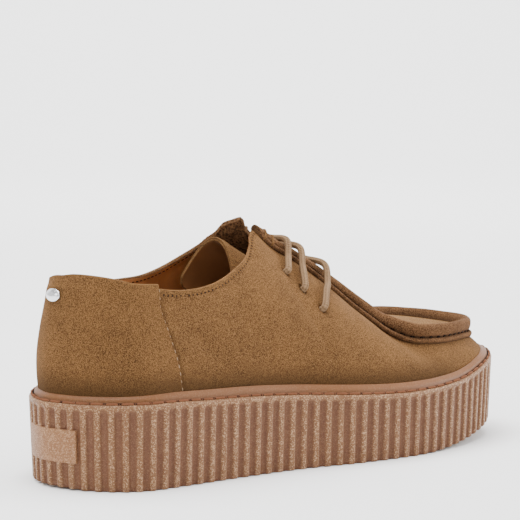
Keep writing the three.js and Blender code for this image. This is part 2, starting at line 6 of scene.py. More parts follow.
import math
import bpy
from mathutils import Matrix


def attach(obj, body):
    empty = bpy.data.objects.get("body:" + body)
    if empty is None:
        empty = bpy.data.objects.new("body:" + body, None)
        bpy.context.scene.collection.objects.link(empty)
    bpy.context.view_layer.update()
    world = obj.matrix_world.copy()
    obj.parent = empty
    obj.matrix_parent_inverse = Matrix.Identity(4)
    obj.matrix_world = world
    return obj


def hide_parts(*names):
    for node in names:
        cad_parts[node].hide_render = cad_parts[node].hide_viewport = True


bl_info = {
    "name": "Suede Platform Shoe",
    "version": (1, 0, 0),
    "blender": (4, 5, 0),
    "location": "3D View > Sidebar > Shoe",
    "description": "Builds a laced suede shoe with a raised apron seam on a ribbed rubber platform",
    "category": "Object",
}

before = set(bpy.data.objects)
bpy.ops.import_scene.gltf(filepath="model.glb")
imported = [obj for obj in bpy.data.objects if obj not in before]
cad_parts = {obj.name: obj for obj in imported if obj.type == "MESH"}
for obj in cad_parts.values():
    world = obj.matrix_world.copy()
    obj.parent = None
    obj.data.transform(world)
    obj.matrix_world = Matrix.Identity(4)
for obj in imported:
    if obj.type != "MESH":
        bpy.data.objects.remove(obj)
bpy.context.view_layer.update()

import bpy
import numpy as np
from mathutils import Vector

# Sizes of the pattern, in metres

MM = 0.001
SOLE_LENGTH = 276 * MM
HALF_BALL = 107 * MM / 2
HEEL_HEIGHT = 39.4 * MM
FORE_HEIGHT = 32.3 * MM
TOE_RISE = 11 * MM
TOE_SPRING = 12 * MM
TOE_SPRING_START = 188 * MM
HEEL_BEVEL = 1.5 * MM
HEEL_BEVEL_LENGTH = 16 * MM
WALL_TAPER = 1.3 * MM
TREAD_BEVEL = 1 * MM
RIM_ROUND = 1.3 * MM
RIB_PITCH = 6.6 * MM
RIB_SHIFT = 2.6 * MM
PLATE_WIDTH = 38 * MM
PLATE_BOTTOM = 12.5 * MM
PLATE_HEIGHT = 15 * MM
PLATE_PROUD = 0.3 * MM
UPPER_HEIGHT = 78 * MM
UPPER_WALL = 2.2 * MM
FEATHER_INSET = 5 * MM
EDGE_BAND = 5 * MM
WELT_INSET = 2.9 * MM
WELT_HEIGHT = 4 * MM
INSOLE_THICKNESS = 4 * MM
FIT_GAP = 0.35 * MM
SEAM_WIDTH = 4.8 * MM
SEAM_HEIGHT = 8.6 * MM
TONGUE_THICKNESS = 2.2 * MM
TONGUE_UNDER = 13.9 * MM
TONGUE_BEYOND = 14.5 * MM
TONGUE_WIDTH = 52 * MM
LACE_RADIUS = 1.65 * MM
HOLE_RADIUS = 2.3 * MM
LACE_SLACK = 0.45 * MM
STUD_WIDTH = 10.5 * MM
STUD_HEIGHT = 6 * MM
STUD_THICKNESS = 1.8 * MM
STUD_ABOVE = 47 * MM

# Turns of the upper's landmarks: the counter's top corner, the throat's top and its front corner
NOTCH = (0.25, 0.262)
THROAT_TOP = 0.493
APRON_START = 0.64

# Place of the pattern's heel back in the part's frame
PATTERN_SHIFT = np.array([-138.12, 3.2127, 0]) * MM


class Table:
    """Rows of named columns over a first column, read as smooth curves.

    A corner row breaks the slope, and a level row flattens each column that isn't across the shoe.
    """

    def __init__(self, names, rows, corners=(), level=()):
        values = np.array(rows, float)
        self.at = values[:, 0]
        last = len(rows) - 1
        self.columns = {}
        for index, name in enumerate(names.split()[1:], 1):
            column = values[:, index]
            slopes = np.zeros((2, last + 1))
            for row, at in enumerate(self.at):
                if at in level and name not in ("outer", "inner"):
                    continue
                for way in (0, 1):
                    low = row if row == 0 or (at in corners and way) else row - 1
                    high = row if row == last or (at in corners and not way) else row + 1
                    if high > low:
                        slopes[way, row] = (column[high] - column[low]) / (self.at[high] - self.at[low])
            self.columns[name] = (column, slopes)

    def read(self, name, at):
        column, (arriving, leaving) = self.columns[name]
        at = np.asarray(at, float)
        low = np.clip(np.searchsorted(self.at, at, side="right") - 1, 0, len(self.at) - 2)
        width = self.at[low + 1] - self.at[low]
        t = np.clip((at - self.at[low]) / width, 0, 1)
        rise = column[low + 1] - column[low]
        bend = t * (1 - t) ** 2 * leaving[low] - t * t * (1 - t) * arriving[low + 1]
        return column[low] + rise * t * t * (3 - 2 * t) + bend * width


# Plan outline of the platform: shares of the length and of half the ball width
PLAN = [
    (0, 0), (0.014, -0.286), (0.039, -0.493), (0.072, -0.67), (0.116, -0.772), (0.188, -0.796),
    (0.308, -0.817), (0.428, -0.867), (0.543, -0.998), (0.663, -1.058), (0.757, -1.015),
    (0.851, -0.88), (0.92, -0.692), (0.971, -0.411), (1, 0.03), (0.993, 0.336), (0.957, 0.617),
    (0.895, 0.813), (0.815, 0.916), (0.725, 0.935), (0.623, 0.869), (0.525, 0.776), (0.428, 0.72),
    (0.326, 0.72), (0.217, 0.753), (0.127, 0.744), (0.076, 0.654), (0.04, 0.493), (0.014, 0.28),
]
PLAN_TOE = 14

# Top of the platform: heel is a share of the drop from heel to ball, toe of the toe's rise
BED = Table("at heel toe", [
    (0, 1, 0), (0.15, 1, 0), (0.23, 0.87, 0), (0.33, 0.74, 0), (0.42, 0.51, 0), (0.52, 0.22, 0),
    (0.62, 0.02, 0), (0.7, 0, 0.03), (0.75, 0, 0.1), (0.79, 0, 0.2), (0.83, 0, 0.36),
    (0.88, 0, 0.62), (0.92, 0, 0.78), (1, 0, 1),
])

# Edge of the upper's opening from the heel back to the middle of the toe
EDGE = Table("at along outer inner high drop", [
    (0, 0.03, 0, 0, 0.717, 0),
    (0.05, 0.035, 0.168, 0.13, 0.729, 0.02),
    (0.1, 0.049, 0.327, 0.26, 0.726, 0.035),
    (0.15, 0.072, 0.467, 0.385, 0.71, 0.035),
    (0.2, 0.105, 0.58, 0.5, 0.678, 0.03),
    (0.25, 0.141, 0.622, 0.57, 0.669, 0.03),
    (0.262, 0.15, 0.628, 0.58, 0.642, 0.01),
    (0.285, 0.174, 0.636, 0.595, 0.632, 0),
    (0.32, 0.21, 0.641, 0.605, 0.633, 0.004),
    (0.355, 0.25, 0.636, 0.607, 0.653, 0.016),
    (0.39, 0.29, 0.602, 0.598, 0.692, 0.037),
    (0.42, 0.33, 0.527, 0.575, 0.751, 0.046),
    (0.447, 0.368, 0.417, 0.52, 0.813, 0.03),
    (0.468, 0.396, 0.29, 0.42, 0.883, 0.02),
    (0.482, 0.414, 0.19, 0.31, 0.94, 0),
    (THROAT_TOP, 0.438, 0.084, 0.093, 0.978, -0.02),
    (0.518, 0.469, 0.084, 0.084, 0.903, 0),
    (0.55, 0.511, 0.084, 0.084, 0.836, 0),
    (0.58, 0.552, 0.084, 0.084, 0.757, 0),
    (0.61, 0.594, 0.084, 0.084, 0.666, 0),
    (APRON_START, 0.638, 0.084, 0.084, 0.562, 0),
    (0.655, 0.643, 0.078, 0.078, 0.55, -0.003),
    (0.7, 0.65, 0.061, 0.061, 0.537, -0.012),
    (0.795, 0.654, 0.037, 0.037, 0.532, -0.026),
    (0.893, 0.656, 0.016, 0.016, 0.53, -0.02),
    (1, 0.656, 0, 0, 0.53, 0),
], corners=(*NOTCH, THROAT_TOP, APRON_START), level=(0, 1))

# Lip of the apron in front of the throat
LIP = Table("at along outer inner high", [
    (APRON_START, 0.632, 0.168, 0.168, 0.528),
    (0.655, 0.658, 0.29, 0.28, 0.442),
    (0.675, 0.683, 0.439, 0.41, 0.344),
    (0.7, 0.716, 0.579, 0.523, 0.273),
    (0.74, 0.766, 0.66, 0.579, 0.24),
    (0.795, 0.824, 0.613, 0.598, 0.205),
    (0.845, 0.875, 0.51, 0.57, 0.164),
    (0.893, 0.917, 0.389, 0.467, 0.131),
    (0.948, 0.945, 0.196, 0.29, 0.123),
    (1, 0.955, -0.047, 0.047, 0.12),
], corners=(APRON_START,), level=(1,))

# Handles of the curve that climbs the wall, the apron's crown and dip, and the seam's height
WALL = Table("at stand swell spread fall crown dip seam", [
    (0, 0.26, 0.062, 0.04, 0.2, 0, 0, 0),
    (0.2, 0.26, 0.05, 0.04, 0.2, 0, 0, 0),
    (0.32, 0.24, 0.035, 0.04, 0.18, 0, 0, 0),
    (0.39, 0.26, 0.02, 0.08, 0.18, 0, 0, 0),
    (0.42, 0.28, 0.02, 0.15, 0.17, 0, 0, 0),
    (0.447, 0.3, 0.02, 0.23, 0.15, 0, 0, 0),
    (0.468, 0.31, 0.02, 0.29, 0.14, 0, 0, 0),
    (THROAT_TOP, 0.31, 0.02, 0.31, 0.14, 0, 0.3, 0.36),
    (0.55, 0.3, 0.02, 0.32, 0.13, 0, 0.3, 0.46),
    (0.61, 0.27, 0.02, 0.33, 0.12, 0, 0.3, 0.6),
    (APRON_START, 0.25, 0.02, 0.31, 0.12, 0, 0.3, 0.72),
    (0.675, 0.19, 0.015, 0.2, 0.11, 0.03, 0.3, 0.88),
    (0.7, 0.15, 0.01, 0.13, 0.09, 0.045, 0.34, 1),
    (0.74, 0.11, 0.01, 0.09, 0.07, 0.06, 0.44, 1),
    (0.795, 0.08, 0.005, 0.07, 0.055, 0.075, 0.6, 1),
    (0.845, 0.065, 0, 0.06, 0.045, 0.08, 0.75, 1),
    (0.893, 0.05, 0, 0.055, 0.04, 0.085, 0.83, 1),
    (1, 0.045, 0, 0.055, 0.035, 0.09, 0.88, 1),
])

# Sections of the tongue from its sewn front to its free end
TONGUE = Table("at middle half high wing", [
    (0, 0, 0.46, 0.391, 0.05),
    (0.2, 0, 0.66, 0.491, 0.1),
    (0.4, 0.02, 0.82, 0.61, 0.2),
    (0.6, 0.02, 0.8, 0.71, 0.32),
    (0.8, 0.12, 0.78, 0.795, 0.44),
    (1, 0.27, 0.8, 0.915, 0.54),
])
TONGUE_ARCH = 1.35
TONGUE_CREST = 0.2
TONGUE_BACKS = (0.05, 0.19)
TONGUE_FRONT = EDGE.read("along", APRON_START) * SOLE_LENGTH + TONGUE_UNDER
TONGUE_LENGTH = TONGUE_FRONT - EDGE.read("along", THROAT_TOP) * SOLE_LENGTH + TONGUE_BEYOND

# Lace bars: the turn and rise of the holes, and the turns where a bar crosses the raised seam
LACE_BARS = [
    {"hole": 0.501, "rise": 0.71, "outer": 0.534, "inner": 0.53},
    {"hole": 0.515, "rise": 0.63, "outer": 0.555, "inner": 0.543},
    {"hole": 0.527, "rise": 0.52, "outer": 0.595, "inner": 0.58},
]
LACE_BENDS = ((0.42, 0.3), (0.86, 0.64))
LACE_CROSSING = 0.48

# Line of the seam between counter and quarter, as the turn at each rise
COUNTER_SEAM = Table("at turn", [
    (0, 0.225), (0.2, 0.226), (0.45, 0.235), (0.65, 0.246), (0.9, 0.2565), (1.3, 0.258), (2, 0.258),
])

# Soft creases of the upper: turn, rise, length, width and depth in millimetres, and lean off the
# shoe's length in degrees; a negative depth is a ridge
CREASES = [
    (-0.19, 0.9, 34, 9, 0.7, 8),
    (-0.3, 0.5, 40, 12, 0.45, 70),
    (-0.4, 0.28, 46, 9, 0.5, -24),
    (-0.56, 0.45, 34, 6, 0.7, -38),
    (-0.6, 0.62, 26, 5, 0.6, -52),
    (-0.52, 0.3, 30, 8, -0.5, -20),
    (-0.68, 0.5, 26, 7, 0.5, -62),
    (0.2, 0.85, 32, 9, 0.6, -8),
    (0.33, 0.42, 42, 11, 0.5, 30),
    (0.56, 0.48, 34, 6, 0.7, 40),
    (0.62, 0.6, 26, 5, 0.6, 54),
    (0.02, 0.5, 30, 10, 0.4, 4),
]


# Plan outline and platform heights

def through(knots, steps, closed=False):
    """Close points of a smooth curve through knots, spaced by the root of their distance."""
    knots = np.asarray(knots, float)
    if closed:
        before, here, after, beyond = (np.roll(knots, -shift, axis=0) for shift in (-1, 0, 1, 2))
    else:
        full = np.vstack([2 * knots[0] - knots[1], knots, 2 * knots[-1] - knots[-2]])
        before, here, after, beyond = full[:-3], full[1:-2], full[2:-1], full[3:]

    def gap(a, b):
        return np.linalg.norm(b - a, axis=1, keepdims=True) ** 0.5

    first, middle, last = gap(before, here), gap(here, after), gap(after, beyond)
    leave = (here - before) / first - (after - before) / (first + middle) + (after - here) / middle
    arrive = (after - here) / middle - (beyond - here) / (middle + last) + (beyond - after) / last
    t = (np.arange(steps) / steps)[None, :, None]
    h, a, l, r = (k[:, None, :] for k in (here, after, leave * middle, arrive * middle))
    curve = h + l * t + (3 * (a - h) - 2 * l - r) * t**2 + (2 * (h - a) + l + r) * t**3
    curve = curve.reshape(-1, knots.shape[1])
    return np.vstack([curve, curve[:1] if closed else knots[-1:]])


def run_lengths(path):
    return np.concatenate([[0], np.cumsum(np.linalg.norm(np.diff(path, axis=0), axis=1))])


PLAN_STEPS = 80
TRACE = through(np.array(PLAN) * [SOLE_LENGTH, HALF_BALL], PLAN_STEPS, closed=True)
TRACE_RUN = run_lengths(TRACE)
PERIMETER = TRACE_RUN[-1]
TOE_TURN = TRACE_RUN[PLAN_STEPS * PLAN_TOE] / PERIMETER


def plan_at(share, inset=0.0):
    """Point of the outline at a share of its length, moved in by inset, and its outward direction."""
    run = np.asarray(share, float) * PERIMETER

    def spot(at):
        return np.stack([np.interp(at % PERIMETER, TRACE_RUN, TRACE[:, k]) for k in (0, 1)], -1)

    step = 0.8 * MM
    along = spot(run + step) - spot(run - step)
    along /= np.linalg.norm(along, axis=-1, keepdims=True)
    out = np.stack([along[..., 1], -along[..., 0], 0 * along[..., 0]], -1)
    flat = np.concatenate([spot(run), np.zeros(run.shape + (1,))], -1)
    return flat - out * np.broadcast_to(inset, run.shape)[..., None], out


def bed_height(x):
    at = np.clip(x / SOLE_LENGTH, 0, 1)
    drop = (HEEL_HEIGHT - FORE_HEIGHT) * BED.read("heel", at)
    return FORE_HEIGHT + drop + TOE_RISE * BED.read("toe", at)


def tread_height(x):
    spring = np.clip((x - TOE_SPRING_START) / (SOLE_LENGTH - TOE_SPRING_START), 0, None)
    bevel = np.clip(1 - x / HEEL_BEVEL_LENGTH, 0, None)
    return TOE_SPRING * spring**1.6 + HEEL_BEVEL * bevel**2


def lerp(a, b, t):
    return a + (b - a) * t


def smooth(value, low, high):
    t = np.clip((value - low) / (high - low), 0, 1)
    return t * t * (3 - 2 * t)


def unit(vectors):
    return vectors / np.linalg.norm(vectors, axis=-1, keepdims=True)


def bezier(points, t):
    a, b, c, d = points
    s = 1 - t
    return a * s**3 + b * (3 * s * s * t) + c * (3 * s * t * t) + d * t**3


def raised(points, heights):
    lifted = np.array(points, float)
    lifted[..., 2] = heights
    return lifted


# Shares of the way over the apron at which the handles of its curve stand
LIP_HANDLE = 0.22
EDGE_HANDLE = 0.24


# Outer surface of the upper: a turn runs round the shoe from -1 at the toe over the outer side and
# the heel back at 0 to 1, and a rise climbs from 0 at the platform over 1 at the lip to 2

def turn_share(turn):
    at = np.abs(turn)
    return np.where(turn < 0, at * TOE_TURN, 1 - at * (1 - TOE_TURN))


def rays(turn):
    """Handles of the wall's curve and of the cap's curve at each turn."""
    beyond = np.abs(turn) > 1
    at = np.where(beyond, 2 - np.abs(turn), np.abs(turn))
    side = np.where(turn < 0, -1.0, 1.0) * np.where(beyond, -1, 1)
    drop = np.where(side > 0, EDGE.read("drop", at), 0)

    def place(table):
        x = table.read("along", at) * SOLE_LENGTH
        across = np.where(side < 0, table.read("outer", at), table.read("inner", at))
        high = bed_height(x) + (table.read("high", at) - drop) * UPPER_HEIGHT
        return np.stack([x, side * across * HALF_BALL, high], -1)

    def share(name, whole):
        return (WALL.read(name, at) * whole)[:, None]

    flat, out = plan_at(turn_share(side * at), FEATHER_INSET)
    foot = raised(flat, bed_height(flat[:, 0]) + FIT_GAP)
    up = np.array([0, 0, 1.0])
    hang = out * share("spread", HALF_BALL) - up * share("fall", UPPER_HEIGHT)
    edge = place(EDGE)
    apron = (at > APRON_START)[:, None]
    lip = np.where(apron, place(LIP), edge + unit(hang) * EDGE_BAND)
    first = foot + out * share("swell", HALF_BALL) + up * share("stand", UPPER_HEIGHT)
    crown = lip[:, 2] + WALL.read("crown", at) * UPPER_HEIGHT
    dip = lerp(edge[:, 2], lip[:, 2], WALL.read("dip", at))
    near_lip = np.where(apron, raised(lerp(lip, edge, LIP_HANDLE), crown), lerp(lip, edge, 1 / 3))
    near_edge = np.where(apron, raised(lerp(edge, lip, EDGE_HANDLE), dip), lerp(lip, edge, 2 / 3))
    return (foot, first, lip + hang, lip), (lip, near_lip, near_edge, edge)


def upper_at(turn, rise):
    turn, rise = np.broadcast_arrays(np.asarray(turn, float), np.asarray(rise, float))
    single, back = np.unique(turn, return_inverse=True)
    back = back.reshape(turn.shape)
    wall, cap = rays(single)
    t = rise[..., None]
    on_wall = bezier([p[back] for p in wall], np.clip(t, 0, 1))
    on_cap = bezier([p[back] for p in cap], np.clip(t - 1, 0, 1))
    return np.where(t <= 1, on_wall, on_cap)


def upper_normal(turn, rise):
    turn, rise = np.broadcast_arrays(np.asarray(turn, float), np.asarray(rise, float))
    reach = 0.004
    tall = 5 * reach
    sideways = upper_at(turn + reach, rise) - upper_at(turn - reach, rise)
    climb = upper_at(turn, np.clip(rise + tall, 0, 2)) - upper_at(turn, np.clip(rise - tall, 0, 2))
    return unit(np.cross(climb, sideways))


def off_wall(turn, rise, lift):
    lift = np.broadcast_to(lift, np.broadcast(np.asarray(turn), np.asarray(rise)).shape)
    return upper_at(turn, rise) + upper_normal(turn, rise) * lift[..., None]


# Length half round the upper and up its wall, by which the creases and the seam are measured
HALF_ROUND = 327 * MM
WALL_CLIMB = 62 * MM

# Low forms of the suede, with half the width of the stitched channel in millimetres
CHANNEL_DEPTH = 0.35 * MM
CHANNEL_HALF = 0.7
COUNTER_STEP = 0.5 * MM
PLUG_RISE = 2.7 * MM
HEEL_LEAN = 1.9 * MM
NOTCH_DROP = 2.1 * MM


def seam_distance(turn, rise):
    """Distance from the counter's seam in millimetres, positive on the counter."""
    return (COUNTER_SEAM.read("turn", rise) - np.abs(turn)) * HALF_ROUND / MM


def wall_relief(turn, rise):
    """Lift of the suede off the pattern: the counter's step, its stitched channel and the creases."""
    turn, rise = np.broadcast_arrays(np.asarray(turn, float), np.asarray(rise, float))
    from_seam = seam_distance(turn, rise)
    lift = -CHANNEL_DEPTH * np.exp(-((from_seam + CHANNEL_HALF) / CHANNEL_HALF) ** 2)
    for place, height, length, width, depth, lean in CREASES:
        run = (turn - place) * HALF_ROUND / MM
        climb = (rise - height) * WALL_CLIMB / MM
        angle = math.radians(lean)
        along = run * math.cos(angle) + climb * math.sin(angle)
        across = climb * math.cos(angle) - run * math.sin(angle)
        reach = (along / (length / 2)) ** 2 + (across / (width / 2)) ** 2
        lift -= depth * MM * np.exp(-reach)
    lift *= smooth(rise, 0, 0.12) * (1 - smooth(rise, 0.93, 1))
    lift += COUNTER_STEP * smooth(from_seam, -0.3, 0.3) * smooth(rise, 0, 0.05)
    heel = 1 - smooth(np.abs(turn), 0.05, 0.17)
    return lift - HEEL_LEAN * smooth(rise, 0.3, 2) * heel


def follow_seam(turn, rise):
    """Turns of the upper's columns, led along the counter's seam."""
    lead = COUNTER_SEAM.read("turn", rise) - COUNTER_SEAM.read("turn", 2.0)
    corner_start, corner_end = NOTCH
    back = np.abs(turn)
    near = smooth(back, 0.16, corner_start) * (1 - smooth(back, corner_end, 0.35))
    return turn + np.sign(turn) * lead * near


def notch_lift(turn, rise):
    """Height that turns the slope of the counter's top corner into a short rounded step."""
    low, high = NOTCH
    share = np.clip((np.abs(turn) - low) / (high - low), 0, 1)
    return NOTCH_DROP * (share - smooth(share, 0.5, 0.85)) * smooth(rise, 1.2, 2)


# Lip of the throat and of the apron

def lip_frame(turn):
    """Points of the lip with their directions along it, over the apron and up from the surface."""
    turn = np.asarray(turn, float)
    reach = 0.003
    steps = np.linspace(1, 2, 61)
    inside = upper_at(turn[:, None], steps[None, :])
    gone = np.cumsum(np.linalg.norm(np.diff(inside, axis=1), axis=2), axis=1)
    stop = np.minimum((gone < SEAM_WIDTH).sum(1) + 1, len(steps) - 1)
    lip = inside[:, 0]
    along = unit(upper_at(turn + reach, 1) - upper_at(turn - reach, 1))
    inward = inside[np.arange(len(turn)), stop] - lip
    inward = unit(inward - along * (inward * along).sum(1, keepdims=True))
    up = np.cross(inward, along)
    up *= np.where(up[:, 2:] < 0, -1, 1)
    return lip, along, inward, up


def at_lip(turn, inwards, upwards):
    lip, _, inward, up = lip_frame(turn)
    inwards = np.broadcast_to(inwards, lip.shape[:1])[:, None]
    upwards = np.broadcast_to(upwards, lip.shape[:1])[:, None]
    return lip + inward * inwards + up * upwards


def seam_top(turn):
    return SEAM_HEIGHT * WALL.read("seam", np.abs(turn))


# Turns over the counter's seam and over the frayed top of the throat
FINE_BANDS = ((0.19, 0.26), (0.476, 0.506))


def fine_turns(step, start=0.0, fine_step=None):
    """Turns of the edge table's rows, with steps between them, from -1 to 1 without the far end.

    fine_step takes the place of step over the fine bands.
    """
    half = [EDGE.at[0]]
    for low, high in zip(EDGE.at, EDGE.at[1:]):
        fine = fine_step and any(first < low < last for first, last in FINE_BANDS)
        count = max(1, round((high - low) / (fine_step if fine else step)))
        half += [low + (high - low) * (k + 1) / count for k in range(count)]
    half = np.array([at for at in half if at >= start])
    if start:
        return np.concatenate([-half, half[:-1][::-1]])
    return np.concatenate([-half[:-1][::-1], half[1:]])


def tongue_at(length, width):
    """Outer face of the tongue from its sewn front at 0 to its free end at 1, and across it."""
    half = TONGUE_WIDTH / 2
    arch = TONGUE_ARCH
    bow = np.where(width < TONGUE_CREST, *TONGUE_BACKS) * (width - TONGUE_CREST) ** 2
    x = TONGUE_FRONT - length * TONGUE_LENGTH * (1 + bow)
    bent = np.sin(width * arch) / math.sin(arch)
    y = half * (TONGUE.read("middle", length) + TONGUE.read("half", length) * bent)
    fall = TONGUE.read("wing", length) * TONGUE_WIDTH * (1 - np.cos(width * arch)) / (1 - math.cos(arch))
    return np.stack([x, y, bed_height(x) + TONGUE.read("high", length) * UPPER_HEIGHT - fall], -1)


# Meshes

class Shell:
    """Gathers the points and faces of one piece, with a UV for each corner and masks for points."""

    def __init__(self):
        self.points = []
        self.faces = []
        self.corners = []
        self.slots = []
        self.masks = {}
        self.count = 0

    def add_points(self, points, masks):
        flat = np.asarray(points, float).reshape(-1, 3)
        for name in set(self.masks) | set(masks):
            found = self.masks.setdefault(name, [np.zeros(self.count)])
            value = np.broadcast_to(masks.get(name, 0.0), np.asarray(points).shape[:-1])
            found.append(np.asarray(value, float).reshape(-1))
        self.points.append(flat)
        first = self.count
        self.count += len(flat)
        return first

    def sheet(self, grid, u=None, v=None, around=False, over=False, slot=0, flip=False, **masks):
        """Quads over a grid of points: around joins its last column to its first, over its rows."""
        rows, columns = grid.shape[:2]
        first = self.add_points(grid, masks)
        i, j = np.meshgrid(
            np.arange(rows if over else rows - 1),
            np.arange(columns if around else columns - 1),
            indexing="ij",
        )
        i, j = i.reshape(-1), j.reshape(-1)
        below, right = (i + 1) % rows, (j + 1) % columns
        upper, lower = i * columns, below * columns
        quads = np.stack([upper + j, upper + right, lower + right, lower + j], 1)
        u = np.linspace(0, 1, columns + 1) if u is None else np.append(u, u[-1] + (u[-1] - u[-2]))
        v = np.linspace(0, 1, rows + 1) if v is None else np.append(v, v[-1] + (v[-1] - v[-2]))
        corners = np.stack([
            np.stack([u[j], v[i]], 1),
            np.stack([u[j + 1], v[i]], 1),
            np.stack([u[j + 1], v[i + 1]], 1),
            np.stack([u[j], v[i + 1]], 1),
        ], 1)
        if flip:
            quads, corners = quads[:, ::-1], corners[:, ::-1]
        self.faces.append(quads + first)
        self.corners.append(corners)
        slots = np.full(len(quads), slot) if np.isscalar(slot) else np.asarray(slot)[i]
        self.slots.append(slots)
        return first

    def across(self, first, count, slot=0, flip=False):
        """Quads across a ring of an even count of points, from its start to its middle."""
        low = np.arange(count // 2 - 1)
        high = count - 1 - low
        quads = np.stack([low, low + 1, high - 1, high], 1) + first
        if flip:
            quads = quads[:, ::-1]
        self.faces.append(quads)
        self.corners.append(np.zeros((len(quads), 4, 2)))
        self.slots.append(np.full(len(quads), slot))

    def solid(self, grid, slot=0, **masks):
        """Closed body from a grid whose columns run round it, with its two ends filled."""
        rows, columns = grid.shape[:2]
        first = self.sheet(grid, around=True, slot=slot, **masks)
        self.across(first, columns, slot)
        self.across(first + (rows - 1) * columns, columns, slot, flip=True)

    def build(self, name, materials, sharp=None, shift=True):
        points = np.vstack(self.points)
        faces = np.vstack(self.faces)
        corners = np.concatenate(self.corners)
        ring = points[faces]
        volume = sum(
            np.einsum("ij,ij->", ring[:, 0], np.cross(ring[:, k], ring[:, k + 1])) for k in (1, 2)
        )
        if volume < 0:
            faces, corners = faces[:, ::-1], corners[:, ::-1]
        mesh = bpy.data.meshes.new(name)
        placed = points + PATTERN_SHIFT if shift else points
        mesh.from_pydata(placed.tolist(), [], faces.tolist())
        layer = mesh.uv_layers.new(name="UVMap")
        layer.data.foreach_set("uv", corners.astype(np.float32).reshape(-1))
        mesh.polygons.foreach_set("material_index", np.concatenate(self.slots).astype(np.int32))
        for mask, values in self.masks.items():
            attribute = mesh.attributes.new(mask, "FLOAT", "POINT")
            attribute.data.foreach_set("value", np.concatenate(values).astype(np.float32))
        mesh.polygons.foreach_set("use_smooth", np.ones(len(faces), bool))
        if sharp:
            mesh.set_sharp_from_angle(angle=math.radians(sharp))
        for material in materials:
            mesh.materials.append(material)
        piece = bpy.data.objects.new(name, mesh)
        bpy.context.scene.collection.objects.link(piece)
        return piece


def store_vectors(mesh, name, values):
    attribute = mesh.attributes.new(name, "FLOAT_VECTOR", "POINT")
    attribute.data.foreach_set("vector", np.asarray(values, np.float32).reshape(-1))


def settle(piece, slot, *nodes):
    """Puts a finished piece on the one body and hides the nodes that it stands for; slot is not used."""
    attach(piece, "root")
    if nodes:
        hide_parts(*nodes)


def spaced(path, spacing, start=0.0):
    """Points along a path at even spacing, with the direction of the path there."""
    run = run_lengths(path)
    count = max(2, int((run[-1] - start) / spacing) + 1)
    at = start + np.arange(count) * (run[-1] - start) / (count - 1)

    def spot(place):
        return np.stack([np.interp(place, run, path[:, k]) for k in range(3)], -1)

    step = spacing / 4
    return spot(at), unit(spot(np.minimum(at + step, run[-1])) - spot(np.maximum(at - step, 0)))


def nearest(path, points):
    """The index of the path's point that is nearest to each of the given points."""
    return np.argmin(np.linalg.norm(path[None] - points[:, None], axis=2), axis=1)


def ring_angles(sides):
    return np.arange(sides) / sides * 2 * math.pi


def tube_rings(path, radius, sides):
    """Rings of a round tube along a path, carried without twist."""
    along = unit(np.gradient(path, axis=0))
    side = unit(np.cross(along[0], [0.3, 0.2, 1.0]))
    angle = ring_angles(sides)[:, None]
    rings = []
    for point, way in zip(path, along):
        side = unit(side - way * np.dot(side, way))
        other = np.cross(way, side)
        rings.append(point + radius * (np.cos(angle) * side + np.sin(angle) * other))
    return np.array(rings)


# Node trees

class Wire:
    """A socket whose arithmetic adds Math nodes to its tree."""

    def __init__(self, tree, socket):
        self.tree = tree
        self.socket = socket

    def math(self, operation, *values):
        return self.tree.add("ShaderNodeMath", {"operation": operation}, dict(enumerate(values)))

    def __add__(self, other):
        return self.math("ADD", self, other)

    __radd__ = __add__

    def __sub__(self, other):
        return self.math("SUBTRACT", self, other)

    def __rsub__(self, other):
        return self.math("SUBTRACT", other, self)

    def __mul__(self, other):
        return self.math("MULTIPLY", self, other)

    __rmul__ = __mul__

    def smooth(self, low, high):
        settings = {"interpolation_type": "SMOOTHSTEP"}
        return self.tree.add("ShaderNodeMapRange", settings, {0: self, 1: low, 2: high, 3: 0.0, 4: 1.0})


class Tree:
    """Adds nodes to a shader or geometry tree."""

    def __init__(self, tree):
        self.tree = tree

    def add(self, kind, settings=None, inputs=None, output=0):
        node = self.tree.nodes.new(kind)
        for name, value in (settings or {}).items():
            setattr(node, name, value)
        for name, value in (inputs or {}).items():
            if isinstance(value, Wire):
                self.tree.links.new(value.socket, node.inputs[name])
            else:
                node.inputs[name].default_value = value
        return Wire(self, node.outputs[output])


class Finish(Tree):
    """A material with one principled shader."""

    def __init__(self, name):
        self.material = bpy.data.materials.new(name)
        self.material.use_nodes = True
        super().__init__(self.material.node_tree)
        self.tree.nodes.clear()
        self.place = self.add("ShaderNodeTexCoord", output="Object")

    def stretch(self, x, y, z):
        return self.add("ShaderNodeMapping", None, {"Vector": self.place, "Scale": (x, y, z)})

    def noise(self, size, detail=2.0, rough=0.5, place=None):
        inputs = {"Vector": place or self.place, "Scale": 1 / size, "Detail": detail, "Roughness": rough}
        return self.add("ShaderNodeTexNoise", None, inputs)

    def cells(self, size, output="Color"):
        return self.add("ShaderNodeTexVoronoi", None, {"Vector": self.place, "Scale": 1 / size}, output)

    def part(self, vector, index):
        return self.add("ShaderNodeSeparateXYZ", None, {0: vector}, index)

    def mask(self, name):
        return self.add("ShaderNodeAttribute", {"attribute_name": name}, output="Fac")

    def mix(self, factor, first, second):
        return self.add("ShaderNodeMix", {"data_type": "RGBA"}, {0: factor, 6: first, 7: second}, 2)

    def bump(self, height, distance, strength=1.0, normal=None):
        inputs = {"Height": height, "Distance": distance, "Strength": strength}
        if normal:
            inputs["Normal"] = normal
        return self.add("ShaderNodeBump", None, inputs)

    def done(self, **inputs):
        """Ends the material in its principled shader, with a value or wire for each named socket."""
        named = {}
        for name, value in inputs.items():
            named[name.replace("_", " ").title().replace("Ior", "IOR")] = value
        surface = self.add("ShaderNodeBsdfPrincipled", None, named)
        output = self.tree.nodes.new("ShaderNodeOutputMaterial")
        self.tree.links.new(surface.socket, output.inputs["Surface"])
        return self.material


def shade(colour, factor):
    return tuple(c * factor for c in colour[:3]) + (1.0,)


